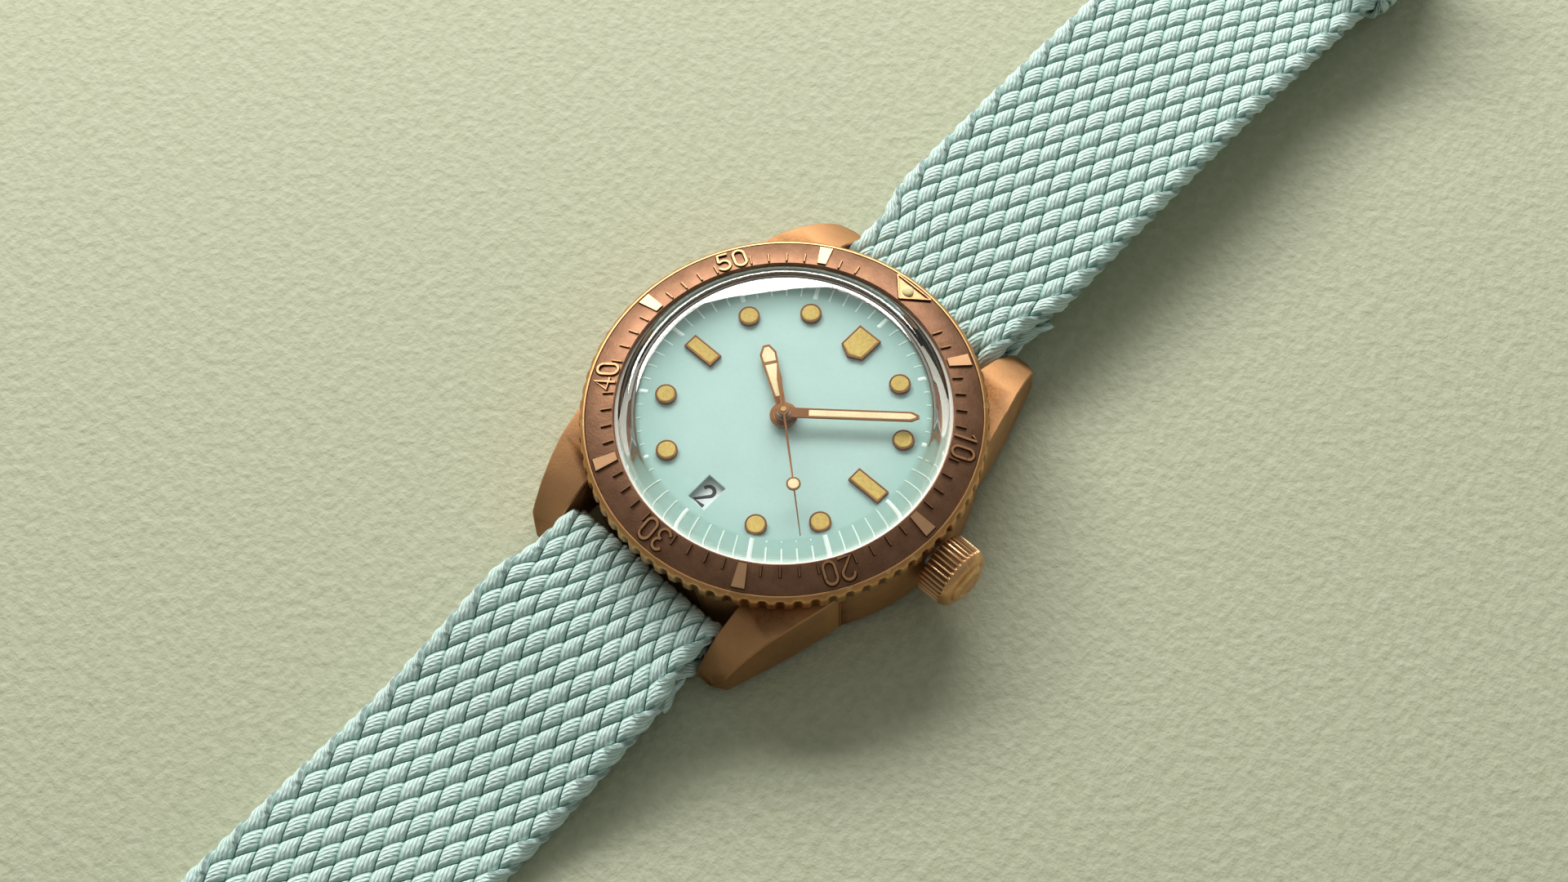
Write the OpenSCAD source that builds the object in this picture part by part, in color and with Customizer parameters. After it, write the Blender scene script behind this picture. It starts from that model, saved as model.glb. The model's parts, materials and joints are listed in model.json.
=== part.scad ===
// A 38 mm mechanical dive watch with a braided strap, lying open on a flat surface.
// Origin: centre of the case back's resting face. +X crown (3 o'clock), +Y 12 o'clock, +Z out of the dial.
// Millimetres.

/* [Case] */
// Radius of the round case band
case_r = 18.4; // [18.3:0.1:18.7]
// Height of the band's top above the resting face
case_top = 7.4; // [7.3:0.1:7.6]
// Gap between the lugs, which is the strap size
lug_gap = 19; // [18.6:0.1:19.4]
// Distance of each spring bar from the centre
bar_y = 20.4; // [20.3:0.1:20.6]
// Height of the spring bars
bar_z = 3.3; // [3.2:0.1:3.4]
// Height of the crown's axis
crown_z = 5; // [4.9:0.1:5.1]

/* [Crown] */
// Radius of the crown
crown_r = 3.05; // [2.8:0.05:3.2]
// Number of grip ridges on the crown
crown_ridges = 30; // [24:1:36]

/* [Bezel] */
// Radius over the turning bezel
bezel_r = 19; // [18.9:0.1:19.3]
// Number of grip scallops on the bezel
bezel_scallops = 75; // [60:1:80]

/* [Time shown] */
// Hour shown by the hands
show_hour = 10; // [0:1:11]
// Minute shown by the hands
show_minute = 8; // [0:1:59]
// Second shown by the hands
show_second = 21.7; // [0:0.1:59.9]

/* [Strap] */
// Width of the strap clear of the lugs
strap_w = 21; // [20:0.5:22]
// Thickness of the braid
strap_t = 2.6; // [2.4:0.1:2.8]
// Distance from the spring bar to the buckle bar
buckle_side_length = 73.6; // [70:0.1:80]
// Distance from the spring bar to the tail's end
tail_side_length = 114.6; // [100:0.1:125]

/* [Hidden] */
$fn = 64;
fit = 0.05;
eps = 0.01;

bronze = "#9c6a42";
dark_bronze = "#6b4632";
gold_bronze = "#c8935c";
steel = "#b9bcbd";
gilt = "#c9a45c";
ruby = "#b0304a";
mint = "#aedbd1";
lume = "#dcc46a";
aqua = "#a9cfc6";
black_rubber = "#2b2b2b";

// Case stack, from the resting face upwards
back_t = 1;
back_r = 16.2;
thread_r = 15.05;
bore_r = thread_r + fit;
flange_r = 14.7;
flange_top = case_top + 1.5;
neck_r = 16.3;
neck_top = case_top + 2.2;
seat_r = 15.7;
crystal_r = 15.3;
crystal_wall = 1;
crystal_edge_z = flange_top + 2;
crystal_top_z = flange_top + 3.7;
insert_out_r = bezel_r - 0.65;
insert_in_r = 15.6;
crown_x = bezel_r + 0.12;
bezel_z = case_top + fit;
bezel_floor_z = case_top + 1.3;
bezel_top_z = case_top + 1.95;

// Dial and hands
dial_z = case_top + 0.4;
dial_t = 0.4;
dial_flat_r = 12.4;
dial_r = 15;
foot_r = 12.3;
foot_angles = [70, 250];
window = [2, 2.75];
window_y = -10.18;
hour_hand_z = dial_z + 0.5;
minute_hand_z = dial_z + 1;
second_hand_z = dial_z + 1.55;
hand_t = 0.2;
minutes_now = show_minute + show_second / 60;
hour_angle = 90 - 30 * (show_hour + minutes_now / 60);
minute_angle = 90 - 6 * minutes_now;
second_angle = 90 - 6 * show_second;

// Movement levels
movement_r = 12.8;
bridge_z = 2.5;
bridge_t = 0.6;
bridge_top = bridge_z + bridge_t;
plate_z = 5.3;
plate_top = 6.7;
pivot_r = 0.1;
pivot_fit = 0.03;
jewel_r = 0.5;
arbor_z = 2.7;
arbor_top = 5.7;

// Gear train: teeth and modules
barrel_n = 84;
barrel_m = 0.12;
second_pinion_n = 12;
second_n = 80;
second_m = 0.095;
third_pinion_n = 10;
third_n = 60;
third_m = 0.09;
seconds_pinion_n = 8;
seconds_n = 84;
seconds_m = 0.064;
escape_pinion_n = 7;
cannon_n = 12;
minute_n = 36;
minute_pinion_n = 10;
hour_n = 40;
motion_m = 0.12;
hour_m = motion_m * (cannon_n + minute_n) / (minute_pinion_n + hour_n);

function turned(r, a) = [r * cos(a), r * sin(a)];
function heading(v) = atan2(v[1], v[0]);
function spacing(m, a, b) = m * (a + b) / 2;
// The point at distance rp from p and rq from q, on the left (1) or right (-1) of the way from p to q
function meet(p, rp, q, rq, side) =
    let (d = q - p, l = norm(d), a = (l * l + rp * rp - rq * rq) / (2 * l), h = sqrt(rp * rp - a * a))
    p + a * d / l + side * h * [-d[1], d[0]] / l;
// Tooth phase of a wheel of n2 teeth that meshes with a wheel of n1 teeth and phase a1, along heading line
function mate(line, a1, n1, n2) = line + 180 - (0.5 - (line - a1) * n1 / 360) * 360 / n2;

centre_at = [0, 0];
barrel_at = turned(6.8, 62);
second_at = meet(barrel_at, spacing(barrel_m, barrel_n, second_pinion_n), centre_at, 5.48, -1);
third_at = meet(second_at, spacing(second_m, second_n, third_pinion_n), centre_at,
                spacing(third_m, third_n, seconds_pinion_n), -1);
escape_line = 235;
escape_at = turned(spacing(seconds_m, seconds_n, escape_pinion_n), escape_line);
pallet_at = turned(5.26, escape_line);
fork_line = 165;
fork_length = 3.4;
balance_at = pallet_at + turned(fork_length, fork_line);
minute_wheel_at = meet(second_at, spacing(motion_m, cannon_n, minute_n), centre_at,
                       spacing(motion_m, cannon_n, minute_n), 1);

barrel_phase = 0;
second_pinion_phase = mate(heading(second_at - barrel_at), barrel_phase, barrel_n, second_pinion_n);
third_pinion_phase = mate(heading(third_at - second_at), 0, second_n, third_pinion_n);
seconds_pinion_phase = mate(heading(centre_at - third_at), 0, third_n, seconds_pinion_n);
escape_pinion_phase = mate(heading(escape_at), 0, seconds_n, escape_pinion_n);
minute_wheel_phase = mate(heading(minute_wheel_at), 0, cannon_n, minute_n);
second_drive_phase = mate(heading(second_at - minute_wheel_at), minute_wheel_phase, minute_n, cannon_n);
hour_wheel_phase = mate(heading(-minute_wheel_at), 0, minute_pinion_n, hour_n);

// Strap
loop_r = strap_t / 2 + 1.6;
strap_narrow_w = lug_gap - 0.4;
shoulder_start = 3.7;
shoulder_end = 6;
bar_r = 0.75;
tip_r = 0.4;
tip_out = 1.5;
arch_rise = 1.4;
arch_y = 55;
slope_y = 63;
slope = 0.11;
slope_angle = atan(slope);
buckle_y = bar_y + buckle_side_length;
lug_top_z = bar_z + loop_r;
buckle_z = lug_top_z + arch_rise - slope * (slope_y - arch_y) / 2
           - slope * (buckle_y - slope_y) - strap_t / 2;
buckle_loop_r = 2.1;
buckle_bar_r = 0.8;
frame_in_w = lug_gap + 0.4;
frame_out_w = frame_in_w + 4.4;
frame_length = 12.6;
frame_t = 2;
keeper_w = 5;
keeper_t = 0.9;
keeper_room = 2 * strap_t + 0.4;
fixed_keeper_s = 8;
free_keeper_s = 15;

// ---- Shared shapes ----

module ring(ro, ri, z0, z1) {
    rotate_extrude() translate([ri, z0]) square([ro - ri, z1 - z0]);
}

module disc(r, z0, z1) {
    translate([0, 0, z0]) cylinder(r = r, h = z1 - z0);
}

module slab(z0, z1) {
    translate([0, 0, z0]) linear_extrude(height = z1 - z0) children();
}

module at(p) {
    translate([p[0], p[1], 0]) children();
}

module x_rod(r, x0, x1) {
    translate([x0, 0, 0]) rotate([0, 90, 0]) cylinder(r = r, h = x1 - x0);
}

// A profile in Y and Z, carried across the width along X
module across(w) {
    translate([-w / 2, 0, 0]) rotate([90, 0, 90]) linear_extrude(height = w) children();
}

module o_ring(r, section, z) {
    rotate_extrude() translate([r, z]) circle(r = section, $fn = 32);
}

// A flat bar of width w from point p to point q
module bar(p, q, w) {
    at(p) rotate(heading(q - p)) translate([0, -w / 2]) square([norm(q - p), w]);
}

// Tooth corners: place within the pitch, and height above the pitch circle in modules
tooth = [[-0.3, -0.95], [-0.13, 0.7], [0.13, 0.7], [0.3, -0.95]];

module gear_outline(n, m, phase) {
    polygon([for (i = [0:n - 1], k = tooth) turned(m * (n / 2 + k[1]), phase + (i + k[0]) * 360 / n)]);
}

// A wheel with its rim, spokes and an open web
module wheel(n, m, phase, z0, z1, spokes, bore_radius) {
    rim_r = m * n / 2 - 3 * m;
    slab(z0, z1) difference() {
        gear_outline(n, m, phase);
        difference() {
            circle(r = rim_r);
            circle(r = rim_r * 0.25);
            for (i = [0:spokes - 1]) rotate(i * 360 / spokes) translate([0, -rim_r * 0.06])
                square([rim_r + 1, rim_r * 0.12]);
        }
        circle(r = bore_radius, $fn = 32);
    }
}

module pinion(n, m, phase, z0, z1) {
    slab(z0, z1) gear_outline(n, m, phase);
}

// A flat spiral band from radius r0 to r1
module spiral(r0, r1, turns, t) {
    steps = 24 * turns;
    inner = [for (i = [0:steps]) turned(r0 + (r1 - r0) * i / steps, 360 * turns * i / steps)];
    outer = [for (i = [steps:-1:0]) turned(r0 + t + (r1 - r0) * i / steps, 360 * turns * i / steps)];
    polygon(concat(inner, outer));
}

// ---- Case ----

module lug_plan() {
    half = lug_gap / 2;
    for (sx = [-1, 1], sy = [-1, 1]) scale([sx, sy]) intersection() {
        polygon([[half, 11], [15.7, 9.6], [15.4, 11.5], [14.5, 15], [13.2, 19], [12.2, 21.9], [11.7, 22.4],
                 [half, 22.4]]);
        translate([-4, 0]) circle(r = 26.8, $fn = 96);
    }
}

module case_side() {
    for (s = [-1, 1]) scale([s, 1]) polygon([
        [0, back_t], [18.5, back_t], [21, 0.9], [21.9, 1.3], [22.2, 2], [22, 2.75],
        [20.7, 4.3], [19, 5.75], [16.9, 6.85], [14.5, case_top], [0, case_top]
    ]);
}

module case_body() color(bronze) {
    difference() {
        union() {
            difference() {
                disc(case_r, back_t, case_top);
                for (s = [-1, 1]) translate([-lug_gap / 2, s * 20.3 - 3, 0]) cube([lug_gap, 6, 10]);
            }
            intersection() {
                slab(0, case_top) lug_plan();
                across(40) case_side();
            }
            ring(neck_r, bore_r - 1, case_top - 1, neck_top);
        }
        disc(bore_r, 0, case_top);
        disc(flange_r, 0, neck_top + 1);
        disc(seat_r, flange_top, neck_top + 1);
        ring(15.88, 15.32, back_t - eps, back_t + 0.56);
        ring(neck_r + 1, neck_r - 0.2, case_top + 0.88, case_top + 1.32);
        ring(17.85, 16.75, case_top - 0.32, case_top + eps);
        for (s = [-1, 1]) translate([0, s * bar_y, bar_z]) x_rod(tip_r + fit, -11, 11);
        translate([0, 0, crown_z]) x_rod(1.1, 14, 20);
    }
}

module case_back() color(bronze) {
    difference() {
        union() {
            disc(back_r, 0, back_t);
            ring(thread_r, 14.2, back_t - 0.1, back_t + 1);
        }
        disc(14.2, back_t - 0.1, back_t + 2);
        for (i = [0:5]) rotate(60 * i) translate([14.4, -1, -eps]) cube([1.2, 2, 0.4 + eps]);
    }
}

module case_back_gasket() color(black_rubber) o_ring(15.6, 0.25, back_t + 0.28);

// ---- Crown ----

module crown_tube() color(steel) translate([0, 0, crown_z]) difference() {
    x_rod(1.1, 15.2, 20.7);
    x_rod(0.5, 15, 21);
}

module crown_profile() {
    polygon(concat(
        [[0, crown_x], [crown_r - 0.3, crown_x], [crown_r, crown_x + 0.3], [crown_r, crown_x + 2.6]],
        [for (a = [15:15:75]) [crown_r - 2.05 * (1 - cos(a)), crown_x + 2.6 + 1.35 * sin(a)]],
        [[0, crown_x + 4]]
    ));
}

module crown() color(gold_bronze) translate([0, 0, crown_z]) rotate([0, 90, 0]) difference() {
    rotate_extrude() crown_profile();
    disc(1.1 + fit, crown_x - 1, crown_x + 2);
    disc(0.5, crown_x - 1, crown_x + 2.65);
    ring(1.45, 1, crown_x + 0.95, crown_x + 1.35);
    for (i = [0:crown_ridges - 1]) rotate(i * 360 / crown_ridges) translate([crown_r + 0.1, 0, crown_x - 1])
        cylinder(r = 0.24, h = 3.4, $fn = 24);
}

module crown_gasket() color(black_rubber) translate([crown_x + 1.15, 0, crown_z]) rotate([0, 90, 0])
    o_ring(1.29, 0.13, 0);

module winding_stem() color(steel) translate([0, 0, crown_z]) union() {
    x_rod(0.45, 8.4, crown_x + 2.6);
    x_rod(0.3, 7, 8.5);
}

// ---- Bezel ----

module bezel() color(gold_bronze) difference() {
    rotate_extrude($fn = 96) polygon([
        [neck_r - 1, bezel_z], [bezel_r, bezel_z], [bezel_r, case_top + 1.55], [bezel_r - 0.4, bezel_top_z],
        [neck_r - 1, bezel_top_z]
    ]);
    slab(bezel_z - 1, bezel_top_z + 1) for (i = [0:bezel_scallops - 1]) rotate(i * 360 / bezel_scallops)
        translate([bezel_r + 0.42, 0]) circle(r = 0.72, $fn = 24);
    disc(neck_r + fit, 0, 20);
    disc(insert_out_r + fit, bezel_floor_z, 20);
    ring(neck_r + 0.26, neck_r - 0.1, case_top + 0.88, case_top + 1.32);
}

pip_at = [0, 17.13, bezel_top_z + 0.3];
pip_r = 0.55;

module bezel_insert() color(dark_bronze) difference() {
    rotate_extrude($fn = 96) polygon([
        [insert_in_r, neck_top + fit], [neck_r + fit, neck_top + fit], [neck_r + fit, bezel_floor_z],
        [insert_out_r, bezel_floor_z], [insert_out_r, bezel_top_z + 0.05], [insert_in_r, bezel_top_z + 0.85]
    ]);
    translate(pip_at) cylinder(r = pip_r, h = 2);
}

module bezel_pip() color("#f2e3a8") translate(pip_at) cylinder(r = pip_r, h = 0.5);

module bezel_click_spring() color(steel) slab(case_top - 0.3, case_top) difference() {
    circle(r = 17.8);
    circle(r = 16.8);
    polygon([[0, 0], turned(30, -20), turned(30, 20)]);
}

module bezel_retaining_ring() color(steel) difference() {
    o_ring(neck_r + 0.03, 0.2, case_top + 1.1);
    translate([-1, neck_r - 2, 0]) cube([2, 4, 20]);
}

// ---- Crystal ----

// Centre and radius of the low dome through the edge and the top
dome_r = (pow(13.9, 2) + pow(1.3, 2)) / (2 * 1.3);

module crystal_outline(r, edge, top) {
    intersection() {
        square([r, top]);
        union() {
            square([r, edge]);
            square([r - 1, edge + 1]);
            translate([r - 1, edge]) circle(r = 1, $fn = 48);
            square([r - 1.4, top]);
        }
        translate([0, top - dome_r]) circle(r = dome_r, $fn = 360);
    }
}

module crystal() color("#e8f2f2", 0.35) rotate_extrude($fn = 96) difference() {
    translate([0, flange_top]) crystal_outline(crystal_r, 1.75, 3.7);
    translate([0, flange_top - 1]) intersection() {
        square([crystal_r - crystal_wall, 3.2]);
        translate([0, 3.2 - dome_r]) circle(r = dome_r, $fn = 360);
    }
}

module crystal_gasket() color("#e9e6df") ring(seat_r - 0.02, crystal_r + 0.02, flange_top, neck_top);

// ---- Dial ----

module dial_profile() {
    fall = 0.5;
    polygon(concat(
        [[1.05, dial_z - dial_t], [dial_flat_r + 0.2, dial_z - dial_t], [dial_r, dial_z - fall - 0.35]],
        [for (i = [0:6]) let (u = 1 - i / 6) [dial_flat_r + (dial_r - dial_flat_r) * u, dial_z - fall * u * u]],
        [[1.05, dial_z]]
    ));
}

module dial() color(mint) difference() {
    union() {
        rotate_extrude($fn = 96) dial_profile();
        for (a = foot_angles) at(turned(foot_r, a)) disc(0.25, plate_top - 0.6, dial_z - dial_t + 0.1);
    }
    translate([-window[0] / 2, window_y - window[1] / 2, 0]) cube([window[0], window[1], 20]);
}

dot_hours = [1, 2, 4, 5, 7, 8, 10, 11];

marker_rim = 0.16;

module marker_shapes(grow) {
    for (h = dot_hours) rotate(-30 * h) translate([0, 11.14]) circle(r = 0.84 + grow, $fn = 48);
    for (side = [[1, 8.75, 12.05], [-1, 8.75, 11.85]]) translate([side[0] * (side[1] + side[2]) / 2, 0])
        square([side[2] - side[1] - 0.1 + 2 * grow, 1.2 + 2 * grow], center = true);
    w = 1.14 + grow;
    polygon([[-w, 11.62 + grow], [w, 11.62 + grow], [w, 9.25 - grow * 0.4], [0, 8.74 - grow * 1.4],
             [-w, 9.25 - grow * 0.4]]);
}

module hour_markers() color(dark_bronze) slab(dial_z, dial_z + 0.34) difference() {
    marker_shapes(marker_rim);
    marker_shapes(0);
}

module hour_marker_lume() color(lume) slab(dial_z, dial_z + 0.36) marker_shapes(0);

// ---- Hands: each lies along +X before it is turned ----

module hour_hand_shape() {
    polygon([[0.6, 0.4], [6.6, 0.8], [7.5, 0.32], [7.5, -0.32], [6.6, -0.8], [0.6, -0.4]]);
}

module hour_lume_shape() {
    polygon([[2, 0.3], [5.4, 0.53], [5.4, -0.53], [2, -0.3]]);
    polygon([[5.7, 0.55], [6.5, 0.61], [7.25, 0.22], [7.25, -0.22], [6.5, -0.61], [5.7, -0.55]]);
}

module minute_hand_shape() {
    polygon([[0.4, 0.5], [11.7, 0.5], [12.34, 0.18], [12.34, -0.18], [11.7, -0.5], [0.4, -0.5]]);
}

module minute_lume_shape() {
    polygon([[2.3, 0.31], [11.55, 0.31], [12.05, 0.07], [12.05, -0.07], [11.55, -0.31], [2.3, -0.31]]);
}

module second_hand_shape() {
    polygon([[-4.9, 0.06], [-3.2, 0.24], [0, 0.12], [12.8, 0.05], [12.8, -0.05], [0, -0.12], [-3.2, -0.24],
             [-4.9, -0.06]]);
}

module second_dot(r) {
    translate([7.6, 0]) circle(r = r, $fn = 48);
}

// The first child is the hand's outline and the second its lume slot; the rest are added shapes
module hand(angle, z, hub_r, bore_radius) {
    rotate(angle) difference() {
        union() {
            slab(z, z + hand_t) children(0);
            disc(hub_r, z, z + hand_t);
            if ($children > 2) slab(z, z + hand_t) children(2);
        }
        slab(z - eps, z + hand_t + eps) children(1);
        disc(bore_radius, z - 1, z + 1);
    }
}

module hour_hand() color("#7a4a30") hand(hour_angle, hour_hand_z, 1.3, 0.95) {
    hour_hand_shape();
    hour_lume_shape();
}

module hour_hand_lume() color("#ebd3a6") rotate(hour_angle)
    slab(hour_hand_z + 0.02, hour_hand_z + hand_t) hour_lume_shape();

module minute_hand() color("#7a4a30") hand(minute_angle, minute_hand_z, 0.9, 0.6) {
    minute_hand_shape();
    minute_lume_shape();
}

module minute_hand_lume() color("#ebd3a6") rotate(minute_angle)
    slab(minute_hand_z + 0.02, minute_hand_z + hand_t) minute_lume_shape();

module second_hand() color("#7a4a30") hand(second_angle, second_hand_z, 0.58, 0.25) {
    second_hand_shape();
    second_dot(0.5);
    second_dot(0.66);
}

module second_hand_lume() color("#ebd3a6") rotate(second_angle)
    slab(second_hand_z + 0.02, second_hand_z + hand_t) second_dot(0.5);

// ---- Movement: fixed pieces ----

pivots = [centre_at, second_at, third_at, escape_at, pallet_at];
train_screws = [turned(11.2, 285), turned(11.2, 335), turned(11.2, 160)];
barrel_screws = [turned(11.8, 10), turned(11.8, 110)];
cock_screw = turned(11.6, heading(balance_at));
cut_u = 4.2;

module movement_ring() color("#c9c6c0") difference() {
    union() {
        ring(thread_r, movement_r + fit, back_t + 1, plate_top + 0.2);
        ring(thread_r, movement_r - 0.4, plate_top, plate_top + 0.2);
    }
    translate([0, 0, crown_z]) x_rod(0.7, 12, 16);
    for (a = foot_angles) at(turned(foot_r, a)) disc(0.3, 6, 8);
}

module main_plate() color(gilt) difference() {
    disc(movement_r, plate_z, plate_top);
    disc(0.35, 5, 8);
    for (p = pivots) if (p != centre_at) at(p) disc(jewel_r, 5, arbor_top + 0.1);
    at(second_at) disc(0.3, 5, 8);
    at(balance_at) disc(jewel_r, 5, arbor_top + 0.1);
    at(barrel_at) disc(0.6 + fit, 5, 6);
    at(minute_wheel_at) disc(0.15, 6, 8);
    translate([0, 0, crown_z]) x_rod(0.55, 6.8, 13);
    for (p = concat(train_screws, barrel_screws, [cock_screw])) at(p) disc(0.37, 5, 6.2);
    for (a = foot_angles) at(turned(foot_r, a)) disc(0.3, 6, 8);
}

module barrel_half(u) {
    rotate(62) translate([u, -20]) square([40, 40]);
}

module cock_area(grow) {
    at(balance_at) rotate(heading(balance_at)) union() {
        circle(r = 2.5 + grow);
        translate([0, -2.5 - grow]) square([10, 5 + 2 * grow]);
    }
}

module pillar(p) {
    at(p) disc(0.9, bridge_top - eps, plate_z);
}

module screw_hole(p) {
    at(p) {
        disc(0.37, 2, 6);
        disc(0.72, 2, bridge_z + 0.3);
    }
}

module train_bridge() color(steel) difference() {
    union() {
        slab(bridge_z, bridge_top) difference() {
            circle(r = 12.6);
            barrel_half(cut_u - 0.1);
            cock_area(0.1);
        }
        for (p = train_screws) pillar(p);
    }
    for (p = pivots) at(p) disc(jewel_r, 2.4, 3.3);
    for (p = train_screws) screw_hole(p);
}

module barrel_bridge() color(steel) difference() {
    union() {
        slab(bridge_z, bridge_top) intersection() {
            circle(r = 12.6);
            barrel_half(cut_u);
        }
        for (p = barrel_screws) pillar(p);
    }
    at(barrel_at) disc(0.6 + fit, 2.6, 3.3);
    for (p = barrel_screws) screw_hole(p);
}

module balance_cock() color(steel) difference() {
    union() {
        slab(bridge_z, bridge_z + 0.3) intersection() {
            circle(r = 12.6);
            cock_area(0);
        }
        slab(bridge_z, plate_z) intersection() {
            difference() {
                circle(r = 12.6);
                circle(r = 10.7);
            }
            cock_area(0);
        }
    }
    at(balance_at) disc(0.3, 2.4, 3.3);
    screw_hole(cock_screw);
}

module jewel(z0, z1) {
    ring(jewel_r, pivot_r + pivot_fit, z0, z1);
}

module jewels() color(ruby) {
    for (p = pivots) at(p) jewel(2.6, 3);
    for (p = [third_at, escape_at, pallet_at, balance_at]) at(p) jewel(plate_z + 0.05, arbor_top);
    at(balance_at) ring(0.3, pivot_r + pivot_fit, bridge_z, bridge_z + 0.3);
}

module movement_screws() color("#5f7fae") for (p = concat(train_screws, barrel_screws, [cock_screw]))
    at(p) difference() {
        union() {
            disc(0.7, bridge_z, bridge_z + 0.3);
            disc(0.35, bridge_z + 0.2, plate_z + 0.8);
        }
        translate([-1, -0.08, bridge_z - eps]) cube([2, 0.16, 0.12]);
    }

// ---- Movement: moving pieces ----

module arbor(z0, z1) {
    disc(pivot_r, z0, z1);
}

module barrel() color(gilt) at(barrel_at) {
    difference() {
        union() {
            disc(4.75, 3.8, 4.9);
            slab(4.5, 4.9) gear_outline(barrel_n, barrel_m, barrel_phase);
        }
        disc(4.5, 3.95, 4.75);
        disc(0.6 + fit, 3, 5.5);
    }
}

module mainspring() color("#7f8f9a") at(barrel_at) slab(4, 4.7) spiral(1.3, 4.2, 9, 0.12);

module barrel_arbor() color(steel) at(barrel_at) union() {
    disc(0.6, arbor_z, arbor_top);
    disc(1.25, 3.98, 4.72);
}

module ratchet_wheel() color(gilt) at(barrel_at) difference() {
    slab(3.25, 3.6) gear_outline(56, 0.128, 0);
    disc(0.6, 3, 4);
}

module second_wheel() color(gilt) at(second_at) union() {
    wheel(second_n, second_m, 0, 5, 5.15, 4, 0);
    pinion(second_pinion_n, barrel_m, second_pinion_phase, 4.45, 5);
    arbor(arbor_z, 5);
    disc(0.25, 5, 7.1);
    pinion(cannon_n, motion_m, second_drive_phase, 6.78, 7.05);
}

module third_wheel() color(gilt) at(third_at) union() {
    wheel(third_n, third_m, 0, 4.3, 4.45, 4, 0);
    pinion(third_pinion_n, second_m, third_pinion_phase, 4.45, 5.2);
    arbor(arbor_z, arbor_top);
}

module seconds_wheel() color(gilt) union() {
    wheel(seconds_n, seconds_m, 0, 3.5, 3.65, 4, 0);
    pinion(seconds_pinion_n, third_m, seconds_pinion_phase, 3.65, 4.65);
    arbor(arbor_z, 4);
    disc(0.25, 4.6, second_hand_z + hand_t + 0.05);
}

module escape_wheel() color(steel) at(escape_at) union() {
    slab(4, 4.15) difference() {
        polygon([for (i = [0:19], k = [[0, 1.6], [3, 2], [7, 2], [8, 1.62]]) turned(k[1], 18 * i + k[0])]);
        difference() {
            circle(r = 1.4);
            circle(r = 0.4);
            for (i = [0:3]) rotate(90 * i) translate([0, -0.1]) square([2, 0.2]);
        }
    }
    pinion(escape_pinion_n, seconds_m, escape_pinion_phase, 3.4, 4);
    arbor(arbor_z, arbor_top);
}

module pallet_fork() color(steel) at(pallet_at) union() {
    slab(4, 4.2) union() {
        circle(r = 0.3);
        for (s = [-1, 1])
            bar(centre_at, escape_at - pallet_at + turned(2.4, escape_line + 32 * s), 0.24);
        rotate(fork_line) difference() {
            union() {
                translate([0, -0.12]) square([2.6, 0.24]);
                translate([2.5, -0.3]) square([0.6, 0.6]);
            }
            translate([2.75, -0.11]) square([1, 0.22]);
        }
    }
    arbor(arbor_z, arbor_top);
}

module balance_wheel() color(gilt) at(balance_at) union() {
    ring(3.15, 2.7, 3.2, 3.6);
    slab(3.3, 3.5) rotate(fork_line) square([5.7, 0.4], center = true);
    arbor(arbor_z - 0.15, arbor_top);
    disc(0.3, 3.1, 4.4);
    disc(0.5, 3.75, 3.93);
    rotate(fork_line + 180) translate([0.38, 0, 0]) disc(0.08, 3.9, 4.2);
}

module hairspring() color("#4f6f9a") at(balance_at) slab(2.88, 3.05) spiral(0.4, 2.1, 8, 0.06);

module cannon_pinion() color(steel) difference() {
    union() {
        pinion(cannon_n, motion_m, 0, plate_top + 0.08, 7.05);
        disc(0.6, plate_top + 0.08, minute_hand_z + hand_t);
    }
    disc(0.32, 6, 12);
}

module hour_wheel() color(gilt) difference() {
    union() {
        pinion(hour_n, hour_m, hour_wheel_phase, 7.1, 7.28);
        disc(0.95, 7.1, hour_hand_z + hand_t);
    }
    disc(0.6 + fit, 7, 12);
}

module minute_wheel() color(gilt) at(minute_wheel_at) union() {
    wheel(minute_n, motion_m, minute_wheel_phase, 6.8, 7, 4, 0);
    pinion(minute_pinion_n, hour_m, 0, 6.9, 7.3);
    disc(0.12, 6.3, 7.3);
}

module date_ring() color("#e6e8e6") slab(6.95, 7.15) difference() {
    circle(r = 11.9, $fn = 96);
    difference() {
        circle(r = 8.7, $fn = 96);
        for (i = [0:30]) rotate(i * 360 / 31) translate([8.55, 0]) square([0.7, 0.55], center = true);
    }
}

module half_disc(r) {
    intersection() {
        circle(r = r, $fn = 96);
        translate([-20, -40]) square([40, 40]);
    }
}

module rotor() color(gold_bronze) difference() {
    union() {
        slab(1.5, 1.8) half_disc(12.4);
        slab(1.2, 2.3) difference() {
            half_disc(12.4);
            circle(r = 10);
        }
        disc(2.4, 1.4, 2.2);
    }
    disc(1 + fit, 1, 3);
}

module rotor_bearing() color(steel) union() {
    disc(1, 1.25, bridge_z);
    disc(1.5, 1.1, 1.3);
}

// ---- Spring bars ----

module spring_bar(s) color(steel) translate([0, s * bar_y, bar_z]) difference() {
    x_rod(bar_r, -strap_narrow_w / 2, strap_narrow_w / 2);
    for (t = [-1, 1]) scale([t, 1, 1]) x_rod(tip_r + fit, 5, 10);
}

module spring_bar_tip(s, t) color(steel) translate([0, s * bar_y, bar_z]) scale([t, 1, 1])
    x_rod(tip_r, 6.8, strap_narrow_w / 2 + tip_out);

// ---- Strap ----

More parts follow.
